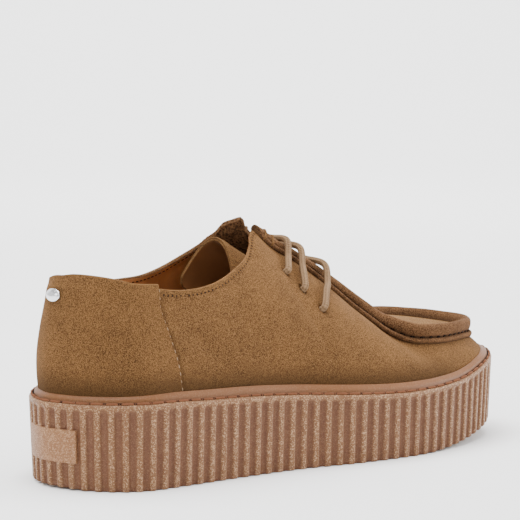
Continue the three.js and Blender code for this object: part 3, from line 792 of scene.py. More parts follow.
def suede_finish(name, colour, painted_shade):
    """Napped suede: a fine two-tone grain and soft clouds, with painted shade by the welt, in creases and
    grooves, a painted shadow beside the counter's seam and a painted highlight along top edges.
    """
    finish = Finish(name)
    grain = finish.noise(0.42 * MM, 1.0, 0.5)
    clouds = finish.noise(22 * MM, 3.0, 0.5)
    strokes = finish.noise(3.2 * MM, 2.0, 0.5, finish.stretch(0.45, 1.0, 1.0))
    tone = grain.smooth(0.38, 0.62) * 0.8 + clouds.smooth(0.3, 0.7) * 0.13 + strokes.smooth(0.3, 0.7) * 0.07
    base = finish.mix(tone, shade(colour, 0.36), shade(colour, 1.75))
    # Painted shade: the low mask darkens the wall's foot by the welt, the apron beside the roll, the roll's
    # creases and the groove in the tongue's edge
    dark = finish.mask("low") * (clouds * 0.5 + 0.75)
    base = finish.mix(dark.smooth(0.0, 1.0) * painted_shade, base, shade(colour, 0.34))
    # Painted shadow on the quarter beside the counter's raised seam
    base = finish.mix(finish.mask("seam") * 0.4, base, shade(colour, 0.45))
    # Painted highlight: lighter speckles along the collar's top and the tongue's edge, where the top light
    # falls
    edge_highlight = finish.mask("edge") * grain.smooth(0.25, 0.6)
    base = finish.mix(edge_highlight * 0.5, base, shade(colour, 1.45))
    height = grain * 0.7 + finish.noise(0.3 * MM, 2.0) * 0.3
    fine = finish.bump(height, 0.25 * MM, 0.75)
    normal = finish.bump(strokes, 0.3 * MM, 0.35, fine)
    return finish.done(
        base_color=base,
        roughness=0.95,
        specular_ior_level=0.08,
        sheen_weight=0.25,
        sheen_roughness=0.45,
        sheen_tint=shade(colour, 2.1),
        normal=normal,
    )


def flesh_finish(name, colour):
    """Rough hairy flesh side of the suede, dark: partly its own colour, partly painted shade on the
    throat's inner face.
    """
    finish = Finish(name)
    hairs = finish.noise(1.1 * MM, 4.0, 0.7)
    clumps = finish.noise(3 * MM, 3.0, 0.6)
    base = finish.mix(hairs.smooth(0.35, 0.65), shade(colour, 0.35), shade(colour, 1.5))
    normal = finish.bump(hairs * 0.6 + clumps * 0.6, 0.9 * MM, 0.9)
    return finish.done(base_color=base, roughness=0.97, specular_ior_level=0.1, normal=normal)


def lining_finish(name, colour):
    """Smooth lining leather with fine pores and a low sheen, darkened by painted shade where it lies deep
    in the shoe.
    """
    finish = Finish(name)
    clouds = finish.noise(14 * MM, 4.0, 0.55)
    pores = finish.cells(0.9 * MM, "Distance")
    base = finish.mix(clouds.smooth(0.3, 0.7), shade(colour, 0.8), shade(colour, 1.2))
    # Painted shade from the deep mask
    base = finish.mix(finish.mask("deep"), base, shade(colour, 0.16))
    normal = finish.bump(pores * 0.6 + clouds * 0.4, 0.12 * MM, 0.4)
    rough = clouds * 0.12 + 0.42
    return finish.done(base_color=base, roughness=rough, specular_ior_level=0.35, normal=normal)


def rubber_finish(name, crest, groove, glitter):
    """Moulded rubber, its grooves darker by painted shade and a little redder, with fine flakes painted as
    bright glints, fainter in the shaded grooves.
    """
    finish = Finish(name)
    sunk = finish.mask("groove")
    clouds = finish.noise(9 * MM, 3.0, 0.5)
    # Painted shade: the groove mask darkens the rubber between the ribs
    depth = sunk.smooth(0.05, 0.75) * 0.85 + clouds.smooth(0.35, 0.65) * 0.15
    base = finish.mix(depth, (*crest[:3], 1), (*groove[:3], 1))
    flakes = finish.part(finish.cells(0.42 * MM), 0)
    specks = finish.part(finish.cells(0.36 * MM), 1)
    # Painted glints: bright flakes in the base colour, fainter in the grooves where shade falls
    shown = flakes.smooth(0.6, 0.9) * (0.95 - 0.8 * sunk.smooth(0.0, 0.6)) * glitter
    base = finish.mix(shown * 0.75, base, (0.46, 0.29, 0.16, 1))
    pits = specks.smooth(0.7, 0.9) * 0.5 * glitter
    base = finish.mix(pits, base, shade(groove, 0.6))
    normal = finish.bump(flakes * 0.6 + specks * 0.4, 0.1 * MM, 0.5 * max(glitter, 0.3))
    return finish.done(
        base_color=base,
        roughness=0.5 - 0.15 * shown,
        specular_ior_level=0.16,
        normal=normal,
    )


def cord_finish(name, colour, braid):
    """Braided cord on the tube's own UV: a strand winds half round it in the length of braid."""
    finish = Finish(name)
    uv = finish.add("ShaderNodeTexCoord", output="UV")
    around = finish.part(uv, 0) * (2 * math.pi)
    along = finish.part(uv, 1) * (math.pi / braid)
    strands = 3.0
    left = around.math("SINE", around * strands + along * strands)
    right = around.math("SINE", around * strands - along * strands)
    weave = (left * right) * 0.5 + 0.5
    fuzz = finish.noise(0.5 * MM, 3.0, 0.6)
    tone = weave * 0.6 + fuzz.smooth(0.3, 0.7) * 0.4
    base = finish.mix(tone, shade(colour, 0.4), shade(colour, 1.4))
    normal = finish.bump(weave * 0.8 + fuzz * 0.3, 0.4 * MM, 0.9)
    return finish.done(base_color=base, roughness=0.9, specular_ior_level=0.08, normal=normal)


def thread_finish(name, colour):
    finish = Finish(name)
    fibres = finish.noise(0.3 * MM, 2.0)
    base = finish.mix(fibres, shade(colour, 0.75), shade(colour, 1.2))
    normal = finish.bump(fibres, 0.1 * MM, 0.6)
    return finish.done(base_color=base, roughness=0.9, specular_ior_level=0.08, normal=normal)


def metal_finish(name):
    finish = Finish(name)
    smears = finish.noise(2 * MM, 2.0)
    normal = finish.bump(smears, 0.05 * MM, 0.3)
    rough = smears * 0.12 + 0.16
    return finish.done(base_color=(0.78, 0.78, 0.8, 1), metallic=1.0, roughness=rough, normal=normal)


# Repeats by geometry nodes

def start_tree(name, **sockets):
    """A geometry tree with a named input of each kind, and a wire from every input."""
    tree = bpy.data.node_groups.new(name, "GeometryNodeTree")
    for label, kind in sockets.items():
        tree.interface.new_socket(name=label, in_out="INPUT", socket_type="NodeSocket" + kind)
    tree.interface.new_socket(name="Piece", in_out="OUTPUT", socket_type="NodeSocketGeometry")
    make = Tree(tree)
    given = tree.nodes.new("NodeGroupInput")
    return make, *(Wire(make, given.outputs[k]) for k in range(len(sockets)))


def end_tree(make, geometry, material):
    """Realizes what a tree has made and gives it its material."""
    real = make.add("GeometryNodeRealizeInstances", None, {0: geometry})
    done = make.add("GeometryNodeSetMaterial", None, {"Geometry": real, "Material": material})
    output = make.tree.nodes.new("NodeGroupOutput")
    make.tree.links.new(done.socket, output.inputs[0])
    return make.tree


def stored(make, name, kind="FLOAT"):
    return make.add("GeometryNodeInputNamedAttribute", {"data_type": kind}, {"Name": name})


def repeat_tree():
    """Copies an item onto each point, turned by the point's own directions."""
    make, points, item, uneven, seed, material = start_tree(
        "sewn_repeat", Points="Geometry", Item="Object", Uneven="Float", Seed="Int", Finish="Material"
    )
    up = stored(make, "up", "FLOAT_VECTOR")
    along = stored(make, "along", "FLOAT_VECTOR")
    axes = {"primary_axis": "Z", "secondary_axis": "X"}
    turn = make.add("FunctionNodeAxesToRotation", axes, {"Primary Axis": up, "Secondary Axis": along})
    chance = make.add(
        "FunctionNodeRandomValue", {"data_type": "FLOAT"}, {2: 1 - uneven, 3: 1 + uneven, "Seed": seed}, 1
    )
    shape = make.add("GeometryNodeObjectInfo", None, {"Object": item}, "Geometry")
    placed = make.add(
        "GeometryNodeInstanceOnPoints", None,
        {"Points": points, "Instance": shape, "Rotation": turn, "Scale": chance},
    )
    return end_tree(make, placed, material)


def rib_tree():
    """Sinks grooves between ribs into a wall and stores how deep each point lies."""
    make, wall, depth, crest, material = start_tree(
        "ribbed_wall", Wall="Geometry", Depth="Float", Crest="Float", Finish="Material"
    )
    phase = stored(make, "phase")
    out = stored(make, "outward", "FLOAT_VECTOR")
    from_crest = phase.math("PINGPONG", phase, 0.5) * 2
    sunk = from_crest.smooth(crest - 0.16, crest + 0.34) * stored(make, "ribbed")
    move = make.add("ShaderNodeVectorMath", {"operation": "SCALE"}, {0: out, "Scale": sunk * depth * -1})
    moved = make.add("GeometryNodeSetPosition", None, {"Geometry": wall, "Offset": move})
    kept = make.add(
        "GeometryNodeStoreNamedAttribute", {"data_type": "FLOAT", "domain": "POINT"},
        {"Geometry": moved, "Name": "groove", "Value": sunk},
    )
    return end_tree(make, kept, material)


def flatten(piece, modifier):
    """Gives a piece the modifier's result as its plain mesh."""
    bpy.context.view_layer.update()
    seen = piece.evaluated_get(bpy.context.evaluated_depsgraph_get())
    mesh = bpy.data.meshes.new_from_object(seen)
    piece.modifiers.remove(modifier)
    old = piece.data
    piece.data = mesh
    bpy.data.meshes.remove(old)
    mesh.name = piece.name


def run_tree(piece, tree, **values):
    """Runs a tree on a piece, with a value for each of its named inputs."""
    modifier = piece.modifiers.new("shape", "NODES")
    modifier.node_group = tree
    for item in tree.interface.items_tree:
        if item.item_type == "SOCKET" and item.in_out == "INPUT" and item.name.lower() in values:
            modifier[item.identifier] = values[item.name.lower()]
    flatten(piece, modifier)


def capsule(length, radius, sides=6, lift=0.0):
    """A stitch: a short round thread along X, arched by lift at its middle."""
    shell = Shell()
    shares = np.array([-1, -0.86, -0.5, 0, 0.5, 0.86, 1])[:, None]
    widths = np.array([0.35, 0.8, 1, 1, 1, 0.8, 0.35])[:, None]
    angle = ring_angles(sides)
    x = np.repeat(shares * length / 2, sides, 1)
    y = widths * radius * np.cos(angle)
    z = widths * radius * np.sin(angle) + lift * (1 - shares**2)
    shell.solid(np.stack([x, y, z], -1))
    return shell.build("stitch_item", [], shift=False)


def dimple(radius, sides=8):
    """A needle hole: a flat round button that lies in the surface, dark with painted shade."""
    shell = Shell()
    angle = ring_angles(sides)
    circle = np.stack([np.cos(angle), np.sin(angle), 0 * angle], -1)
    rings = [(0.5, 0.1), (1.0, 0.02), (1.0, -0.3), (0.5, -0.35)]
    shell.solid(np.array([(circle * wide + [0, 0, high]) * radius for wide, high in rings]))
    return shell.build("dimple_item", [], shift=False)


def sew(name, item, points, along, up, material, slot, uneven=0.15, seed=3):
    """A row of items at points in the part's frame, lying along one direction and standing on another."""
    mesh = bpy.data.meshes.new(name)
    mesh.from_pydata((np.asarray(points) + PATTERN_SHIFT).tolist(), [], [])
    store_vectors(mesh, "along", along)
    store_vectors(mesh, "up", up)
    piece = bpy.data.objects.new(name, mesh)
    bpy.context.scene.collection.objects.link(piece)
    tree = bpy.data.node_groups.get("sewn_repeat") or repeat_tree()
    run_tree(piece, tree, item=item, uneven=uneven, seed=seed, finish=material)
    piece.data.polygons.foreach_set("use_smooth", np.ones(len(piece.data.polygons), bool))
    bpy.data.objects.remove(item)
    settle(piece, slot)
    return piece


# Settings that a user may change

def length_property(name, description, default):
    return bpy.props.FloatProperty(
        name=name, description=description, default=default, unit="LENGTH", precision=5
    )


def share_property(name, description, default):
    return bpy.props.FloatProperty(
        name=name, description=description, default=default, subtype="FACTOR", precision=4
    )


def colour_property(name, description, default):
    return bpy.props.FloatVectorProperty(
        name=name, description=description, default=default, subtype="COLOR", size=3, min=0, max=1
    )


class ShoeColours(bpy.types.PropertyGroup):
    suede: colour_property("Suede", "Colour of the upper and the tongue", (0.107, 0.053, 0.0195))
    roll: colour_property("Raised seam", "Colour of the roll round the apron", (0.094, 0.046, 0.0205))
    plug: colour_property("Apron", "Colour of the suede inside the roll", (0.125, 0.064, 0.023))
    lining: colour_property("Lining", "Colour of the lining leather", (0.47, 0.2, 0.07))
    crest: colour_property("Rib", "Colour of the platform on its ribs", (0.175, 0.084, 0.039))
    # The groove colour is darker than the rib's as painted shade between the ribs, and a little redder
    groove: colour_property("Groove", "Colour of the platform between its ribs", (0.118, 0.05, 0.026))
    welt: colour_property("Welt", "Colour of the welt band", (0.15, 0.062, 0.024))
    lace: colour_property("Lace", "Colour of the braided lace", (0.2, 0.122, 0.066))
    rim: colour_property("Rim thread", "Colour of the thread along the platform's rim", (0.15, 0.06, 0.03))
    thread: colour_property("Pale thread", "Colour of the thread in the back seams", (0.3, 0.2, 0.12))
    # The dark thread colour is painted shade: needle holes, the rim's shade line and thread inside the
    # collar
    dark: colour_property("Dark thread", "Colour of needle holes and shaded thread", (0.012, 0.005, 0.003))


class ShoeSizes(bpy.types.PropertyGroup):
    rib_depth: length_property("Rib depth", "Depth of the grooves between ribs", 1.3 * MM)
    rib_crest: share_property("Rib crest", "Share of the pitch that a rib takes", 0.4)
    rim_stitch: length_property("Rim stitch", "Length from one rim stitch to the next", 6.9 * MM)
    collar_stitch: length_property("Collar stitch", "Length from one collar stitch to the next", 2.3 * MM)
    roll_stitch: length_property("Roll stitch", "Length between needle holes of the roll", 5.4 * MM)
    seam_stitch: length_property("Back seam stitch", "Length between stitches of the back seam", 3.4 * MM)
    grid: share_property("Grid", "Turn from one column of the upper's mesh to the next", 0.0042)


# Name and maker of each material, with the colours that the maker reads
FINISHES = {
    # The last number of each suede finish is the strength of its painted shade
    "suede": ("napped_suede", lambda name, c: suede_finish(name, c.suede, 0.75)),
    "roll": ("roll_suede", lambda name, c: suede_finish(name, c.roll, 0.8)),
    "plug": ("apron_suede", lambda name, c: suede_finish(name, c.plug, 0.9)),
    "flesh": ("flesh_side", lambda name, c: flesh_finish(name, c.roll)),
    "lining": ("pored_lining", lambda name, c: lining_finish(name, c.lining)),
    # The sock's darker lining colour is partly the leather's own brown and partly painted shade deep in the
    # shoe
    "sock": ("sock_leather", lambda name, c: lining_finish(name, shade(c.lining, 0.4))),
    "sole": ("glitter_rubber", lambda name, c: rubber_finish(name, c.crest, c.groove, 1.0)),
    "plate": (
        "plate_rubber", lambda name, c: rubber_finish(name, shade(c.crest, 1.3), shade(c.groove, 1.3), 0.8)
    ),
    "welt": ("smooth_rubber", lambda name, c: rubber_finish(name, c.welt, shade(c.welt, 0.8), 0.12)),
    "lace": ("braided_lace", lambda name, c: cord_finish(name, c.lace, 3 * MM)),
    "thread": ("pale_thread", lambda name, c: thread_finish(name, c.thread)),
    "brown": ("brown_thread", lambda name, c: thread_finish(name, shade(c.suede, 1.25))),
    "copper": ("copper_thread", lambda name, c: thread_finish(name, c.rim)),
    # Painted shade for needle holes, the rim's shade line and thread on the lining
    "dark": ("needle_dark", lambda name, c: thread_finish(name, c.dark)),
    "metal": ("polished_metal", lambda name, c: metal_finish(name)),
}


def finish(key):
    """Each material, made when it is first asked for."""
    name, maker = FINISHES[key]
    return bpy.data.materials.get(name) or maker(name, bpy.context.scene.shoe_colours)


class ShoePiece:
    """Shared by the operators: each one builds its pieces from the scene's settings."""

    bl_options = {"REGISTER", "UNDO"}

    def execute(self, context):
        self.make(context.scene.shoe_sizes)
        return {"FINISHED"}


# Columns of the platform's mesh over one rib and its groove, and the distances under the rim
# between which the ribs come in
RIB_COLUMNS = 16
RIB_FADE = (0.2 * MM, 2.6 * MM)


def sole_rings(columns):
    """Rings of the platform from the middle of its tread over the wall to the middle of its top."""
    share = (RIB_SHIFT + np.arange(columns) / columns * PERIMETER) / PERIMETER
    rows = []

    def ring(inset, height, ribbed, over_bed):
        flat, out = plan_at(share, inset)
        base = bed_height(flat[:, 0]) if over_bed else tread_height(flat[:, 0])
        rows.append((raised(flat, base + height), out, ribbed))

    edge = WALL_TAPER + TREAD_BEVEL
    for inset in (9, 5):
        ring(inset * MM, 0, 0, False)
    ring(edge + 1 * MM, 0, 0.5, False)
    for angle in (0, 30, 60, 90):
        turn = math.radians(angle)
        ring(edge - TREAD_BEVEL * math.sin(turn), TREAD_BEVEL * (1 - math.cos(turn)), 1, False)
    flat, out = plan_at(share)
    bottom = tread_height(flat[:, 0]) + TREAD_BEVEL
    top = bed_height(flat[:, 0]) - RIM_ROUND
    for climb in (0.12, 0.25, 0.4, 0.55, 0.7, 0.8, 0.86, 0.9, 0.93, 0.96, 0.985, 1):
        taper = WALL_TAPER * (1 - climb)
        wall = raised(flat - out * taper, lerp(bottom, top, climb))
        below = (1 - climb) * float(np.mean(top - bottom))
        rows.append((wall, out, float(smooth(below, *RIB_FADE))))
    for angle in (25, 50, 75, 90):
        turn = math.radians(angle)
        ring(RIM_ROUND * (1 - math.cos(turn)), RIM_ROUND * (math.sin(turn) - 1), 0, True)
    for inset in (3, 5, 9):
        ring(inset * MM, 0, 0, True)
    return rows


class SHOE_OT_sole(ShoePiece, bpy.types.Operator):
    """Build the ribbed platform with the bare plate at its heel."""

    bl_idname = "shoe.sole"
    bl_label = "Ribbed Platform"

    def make(self, sizes):
        ribs = round(PERIMETER / RIB_PITCH)
        columns = ribs * RIB_COLUMNS
        rows = sole_rings(columns)
        shell = Shell()
        grid = np.array([points for points, _, _ in rows])
        phase = np.broadcast_to(np.arange(columns) / RIB_COLUMNS, grid.shape[:2])
        ribbed = np.repeat([shown for _, _, shown in rows], columns).reshape(grid.shape[:2])
        shell.solid(grid, phase=phase, ribbed=ribbed)
        piece = shell.build("ribbed_sole", [], sharp=60)
        store_vectors(piece.data, "outward", np.concatenate([out for _, out, _ in rows]))
        run_tree(piece, rib_tree(), depth=sizes.rib_depth, crest=sizes.rib_crest, finish=finish("sole"))
        for name in ("phase", "ribbed", "outward"):
            piece.data.attributes.remove(piece.data.attributes[name])
        settle(piece, "sole_rubber", "platform_sole")
        self.plate()

    def plate(self):
        shell = Shell()
        half = PLATE_WIDTH / 2
        corner = 0.5 * MM
        sunk = -2.2 * MM
        flush = 0.05 * MM
        eased = 0.8 * PLATE_PROUD
        round_off = 0.12 * MM
        run = np.concatenate([[-half], np.linspace(-half + corner, half - corner, 45), [half]])
        share = run / PERIMETER
        low, high = PLATE_BOTTOM, PLATE_BOTTOM + PLATE_HEIGHT
        section = [
            (sunk, low), (flush, low), (eased, low + round_off), (PLATE_PROUD, low + corner),
            (PLATE_PROUD, high - corner), (eased, high - round_off), (flush, high), (sunk, high),
        ]
        rings = []
        for proud, height in section:
            taper = WALL_TAPER * (1 - height / HEEL_HEIGHT)
            stands = np.where(np.abs(run) > half - corner / 2, np.minimum(proud, 0), proud)
            flat, _ = plan_at(share, taper - stands)
            rings.append(raised(flat, height))
        shell.solid(np.array(rings).transpose(1, 0, 2))
        piece = shell.build("heel_plate", [finish("plate")], sharp=50)
        settle(piece, "sole_rubber")


def row_above(wall, level):
    """In each column of a wall, the first row that stands at a level or over it, past the foot."""
    return np.maximum(np.argmax(wall[:, :, 2] >= level, axis=1), 1)


# Height of the welt round the shoe, as a share of its height at the waist
WELT_SHARE = Table("at tall", [(0, 0.74), (0.12, 0.74), (0.26, 1), (0.6, 1), (0.8, 0.72), (1, 0.6)])


# Section of the welt: its foot's reach past the band and height, its crest and its corner's round
WELT_FOOT_REACH = 0.6 * MM
WELT_FOOT_HEIGHT = 1.4 * MM
WELT_CREST_OFF = 1.0 * MM
WELT_CORNER = 0.5 * MM

# Distance of the row of rim stitches from the platform's outline
RIM_ROW_INSET = 1.75 * MM


class SHOE_OT_welt(ShoePiece, bpy.types.Operator):
    """Build the smooth welt band and, at its foot, a dark tube of painted shade in the stitched channel
    with its stitches.
    """

    bl_idname = "shoe.welt"
    bl_label = "Welt"

    def make(self, sizes):
        turns = fine_turns(0.006)
        share = turn_share(turns)
        rises = np.linspace(0, 0.4, 41)
        wall = upper_at(turns[:, None], rises[None, :])
        _, out = plan_at(share)

        def beside(height, off):
            """A ring at a height over the upper's foot, standing off its wall."""
            level = np.broadcast_to(wall[:, :1, 2] + height, (len(turns), 1))
            above = row_above(wall, level)
            row = np.arange(len(turns))
            low, high = wall[row, above - 1], wall[row, above]
            part = (level[:, 0] - low[:, 2]) / np.maximum(high[:, 2] - low[:, 2], 1e-9)
            return lerp(low, high, np.clip(part, 0, 1)[:, None]) + out * off

        rim, _ = plan_at(share, WELT_INSET - WELT_FOOT_REACH)
        base = wall[:, 0, 2]
        rim = raised(rim, base - 0.1 * MM)
        tall = WELT_HEIGHT * WELT_SHARE.read("tall", np.abs(turns))[:, None]
        crest = beside(tall, WELT_CREST_OFF)
        shoulder = rim - out * 0.25 * MM
        shoulder[:, 2] += WELT_FOOT_HEIGHT
        middle = lerp(shoulder, crest, 0.5) + out * 0.18 * MM
        crest_low = raised(crest, crest[:, 2] - WELT_CORNER)
        top_round = beside(tall, 0.7 * MM)
        top = beside(tall, 0.1 * MM)
        top[:, 2] -= 0.15 * MM
        section = [
            rim, shoulder, middle, crest_low, top_round, top, beside(WELT_HEIGHT / 2, 0), beside(0, 0),
        ]
        shell = Shell()
        shell.sheet(np.array(section), around=True, over=True)
        piece = shell.build("welt_band", [finish("welt")], sharp=65)
        settle(piece, "welt_rubber", "welt")
        self.rim_row(sizes)

    def rim_row(self, sizes):
        share = np.linspace(0, 1, 700)
        flat, _ = plan_at(share, RIM_ROW_INSET)
        path = raised(flat, bed_height(flat[:, 0]))
        # A dark tube of painted shade in the channel where the welt meets the rim
        channel = Shell()
        rings = tube_rings(path[:-1], 0.8 * MM, 8)
        channel.sheet(rings, around=True, over=True)
        piece = channel.build("rim_channel", [finish("dark")])
        settle(piece, "welt_rubber")
        points, along = spaced(path, sizes.rim_stitch)
        points, along = points[:-1], along[:-1]
        out = unit(np.cross(along, [0, 0, 1.0]))
        up = unit(out * 0.75 + [0, 0, 0.66])
        stitch = capsule(sizes.rim_stitch * 0.84, 0.62 * MM, lift=0.2 * MM)
        places = points + up * 0.55 * MM
        sew("rim_stitches", stitch, places, along, up, finish("copper"), "welt_rubber", 0.05)
        knot = capsule(0.9 * MM, 0.26 * MM)
        between = points + along * sizes.rim_stitch / 2 + up * 0.75 * MM
        sew("rim_knots", knot, between, out, up, finish("copper"), "welt_rubber", 0.4, seed=9)


# Rows of the upper's mesh up its wall, over its cap and round its edge, and the order of its finishes
WALL_ROWS = 44
CAP_RISES = [
    0.012, 0.024, 0.04, 0.06, 0.085, 0.115, 0.15, 0.2, 0.26, 0.33, 0.4, 0.48, 0.56, 0.64, 0.72, 0.79,
    0.85, 0.9, 0.94, 0.97, 0.99, 1,
]
EDGE_ANGLES = (30, 60, 90, 120, 150)
UPPER_FINISHES = ("suede", "lining", "plug", "flesh", "roll")
SUEDE, LINING, PLUG, FLESH, ROLL = range(len(UPPER_FINISHES))

# Frayed flap at the inner top of the throat: the turns where it starts, is full, falls and ends
FRAY_TURNS = (0.481, 0.487, 0.496, 0.504)
FRAY_HEIGHT = 3.3 * MM
FRAY_ROUGHNESS = 0.16 * MM
FRAY_EDGE_ROUGHNESS = 0.18 * MM


class SHOE_OT_upper(ShoePiece, bpy.types.Operator):
    """Build the hollow suede upper with its lining and punched lace holes."""

    bl_idname = "shoe.upper"
    bl_label = "Suede Upper"

    def make(self, sizes):
        turns = fine_turns(sizes.grid, fine_step=sizes.grid * 0.3)
        rises = np.concatenate([np.linspace(0, 1, WALL_ROWS), 1 + np.array(CAP_RISES)])
        tall = rises[:, None]
        columns = follow_seam(turns[None, :], tall)
        frayed = smooth(turns, *FRAY_TURNS[:2]) * (1 - smooth(turns, *FRAY_TURNS[2:]))
        surface = upper_at(columns, tall)
        surface[..., 2] += notch_lift(columns, tall) + FRAY_HEIGHT * frayed * smooth(tall, 1, 2)
        normal = upper_normal(columns, tall)
        relief = wall_relief(columns, tall)
        apron = smooth(np.abs(columns), 0.66, 0.72)
        gone = np.cumsum(np.linalg.norm(np.diff(surface[WALL_ROWS - 1:], axis=0), axis=2), axis=0)
        inside = np.concatenate([np.zeros((WALL_ROWS, len(turns))), gone])
        relief = relief + PLUG_RISE * apron * smooth(inside, 0.3 * SEAM_WIDTH, 0.95 * SEAM_WIDTH)
        outer = surface + normal * relief[..., None]
        inner = surface + normal * (np.minimum(relief, 0) - UPPER_WALL)[..., None]
        near_top = smooth(tall, 1.5, 2) * frayed[None, :]
        rough = np.random.default_rng(7).normal(0, FRAY_ROUGHNESS, inner.shape)
        inner += rough * near_top[..., None]
        beyond = unit(surface[-1] - upper_at(turns, np.full(turns.shape, 1.97)))
        centre = (outer[-1] + inner[-1]) / 2
        half = (outer[-1] - inner[-1]) / 2
        cap = []
        for angle in EDGE_ANGLES:
            turn = math.radians(angle)
            reach = UPPER_WALL * 0.28 * math.sin(turn)
            rough = np.random.default_rng(angle).normal(0, FRAY_EDGE_ROUGHNESS, centre.shape)
            cap.append(centre + half * math.cos(turn) + beyond * reach + rough * frayed[:, None])
        grid = np.concatenate([outer, np.array(cap), inner[::-1]])
        count = len(rises)
        masks = {name: np.zeros(grid.shape[:2]) for name in ("low", "edge", "seam", "deep")}
        height = surface[..., 2] - surface[:1, :, 2]
        toe = smooth(np.abs(columns), 0.68, 0.82)
        # Painted shade low on the wall by the welt, weaker towards the toe, and on the apron beside the
        # roll
        masks["low"][:count] = (1 - smooth(height, 0, 20 * MM)) * (1 - 0.85 * toe)
        plug_edge = apron * (1 - smooth(inside, SEAM_WIDTH, 1.35 * SEAM_WIDTH)) * (tall > 1)
        masks["low"][:count] += plug_edge
        from_seam = seam_distance(columns, tall)
        # Painted shadow on the quarter side of the counter's seam, cast by the counter's step
        masks["seam"][:count] = np.exp(-((from_seam + 1.6) / 1.5) ** 2)
        collar = np.abs(turns)[None, :] < APRON_START
        # Painted highlight along the collar's top edge
        masks["edge"][:count] = np.where(collar, smooth(tall, 1.85, 2.0), 0)
        masks["edge"][count:count + 3] = np.where(collar, 1, 0)
        # Painted shade on the lining, darker the deeper it lies below the opening
        depth = (surface[-1:, :, 2] - surface[..., 2])[::-1]
        masks["deep"][-count:] = smooth(depth, 4 * MM, 42 * MM)
        slots = np.where(np.arange(len(grid)) < count + 2, SUEDE, LINING)
        shell = Shell()
        shell.sheet(grid, around=True, over=True, slot=slots, **masks)
        materials = [finish(key) for key in UPPER_FINISHES]
        piece = shell.build("suede_upper", materials, sharp=70)
        self.assign(piece.data, turns, count, len(grid))
        self.punch(piece)
        settle(piece, "upper_suede", "upper")

    def assign(self, mesh, turns, count, rows):
        """Gives the apron, the throat's inner face and the inner side's edge their own finishes."""
        middles = (turns + np.roll(turns, -1)) / 2
        across = np.abs(middles)
        row = np.arange(rows)[:, None]
        slot = np.zeros(len(mesh.polygons), np.int32)
        mesh.polygons.foreach_get("material_index", slot)
        slot = slot.reshape(rows, -1)
        on_edge = (row >= count - 1) & (row < count + len(EDGE_ANGLES))
        over_lining = rows - 1 - row > len(CAP_RISES)
        throat = (across > 0.482) & (across < APRON_START)
        slot[(across > APRON_START) & (row >= WALL_ROWS - 1) & (row < count + 3)] = PLUG
        slot[throat & (row >= count + 2) & over_lining] = FLESH
        slot[(middles > 0.2) & (middles < 0.5) & on_edge] = ROLL
        slot[(middles > 0.482) & (middles < 0.512) & (row >= count - 1) & over_lining] = FLESH
        mesh.polygons.foreach_set("material_index", slot.reshape(-1))

    def punch(self, piece):
        """Cuts the six lace holes through the wall."""
        cutter = Shell()
        for bar in LACE_BARS:
            for side in (-1, 1):
                turn = np.array(side * bar["hole"])
                rise = np.array(bar["rise"])
                normal = upper_normal(turn, rise)
                middle = upper_at(turn, rise)
                path = middle + normal * np.array([[-4.5 * MM], [3 * MM]])
                cutter.solid(tube_rings(path, HOLE_RADIUS * 0.86, 20))
        tool = cutter.build("punches", [finish("flesh")])
        cut = piece.modifiers.new("holes", "BOOLEAN")
        cut.operation = "DIFFERENCE"
        cut.solver = "EXACT"
        cut.object = tool
        flatten(piece, cut)
        bpy.data.objects.remove(tool)


# Section of the raised seam: inwards and up in shares of its width and height, lifted in
# millimetres over the lip, with the painted shade in its creases
ROLL_SECTION = [
    (-0.36, 0.0, -0.6, 1.0), (-0.45, 0.0, 0.45, 0.5), (-0.45, 0.0, 1.5, 0.0), (-0.38, 0.0, 2.05, 0.0),
    (-0.2, 0.0, 2.2, 0.2), (-0.02, 0.0, 2.05, 0.8), (0.06, 0.06, 1.75, 1.0), (0.03, 0.2, 1.6, 0.6),
    (-0.02, 0.36, 1.1, 0.1), (-0.01, 0.54, 0.8, 0.0), (0.05, 0.72, 0.5, 0.0), (0.16, 0.87, 0.25, 0.0),
    (0.33, 0.97, 0.05, 0.0), (0.5, 1.0, 0.0, 0.0), (0.68, 0.97, 0.0, 0.0), (0.84, 0.86, 0.0, 0.0),
    (0.95, 0.68, 0.0, 0.3), (1.0, 0.46, 0.0, 0.7), (1.0, 0.2, 0.0, 1.0), (0.98, 0.0, 0.2, 1.0),
    (0.9, 0.0, -0.6, 1.0), (0.3, 0.0, -0.7, 1.0),
]


def eased_lip(turns):
    """The lip's frame, smoothed past the throat's front corner."""
    kernel = np.exp(-(np.arange(-8, 9) / 4) ** 2)
    kernel /= kernel.sum()
    near = np.exp(-(((np.abs(turns) - APRON_START) / 0.03) ** 2))[:, None]

    def ease(values):
        padded = np.pad(values, ((8, 8), (0, 0)), mode="edge")
        soft = sum(share * padded[k:k + len(values)] for k, share in enumerate(kernel))
        return lerp(values, soft, near)

    lip, along, inward, up = lip_frame(turns)
    return ease(lip), unit(ease(along)), unit(ease(inward)), unit(ease(up))


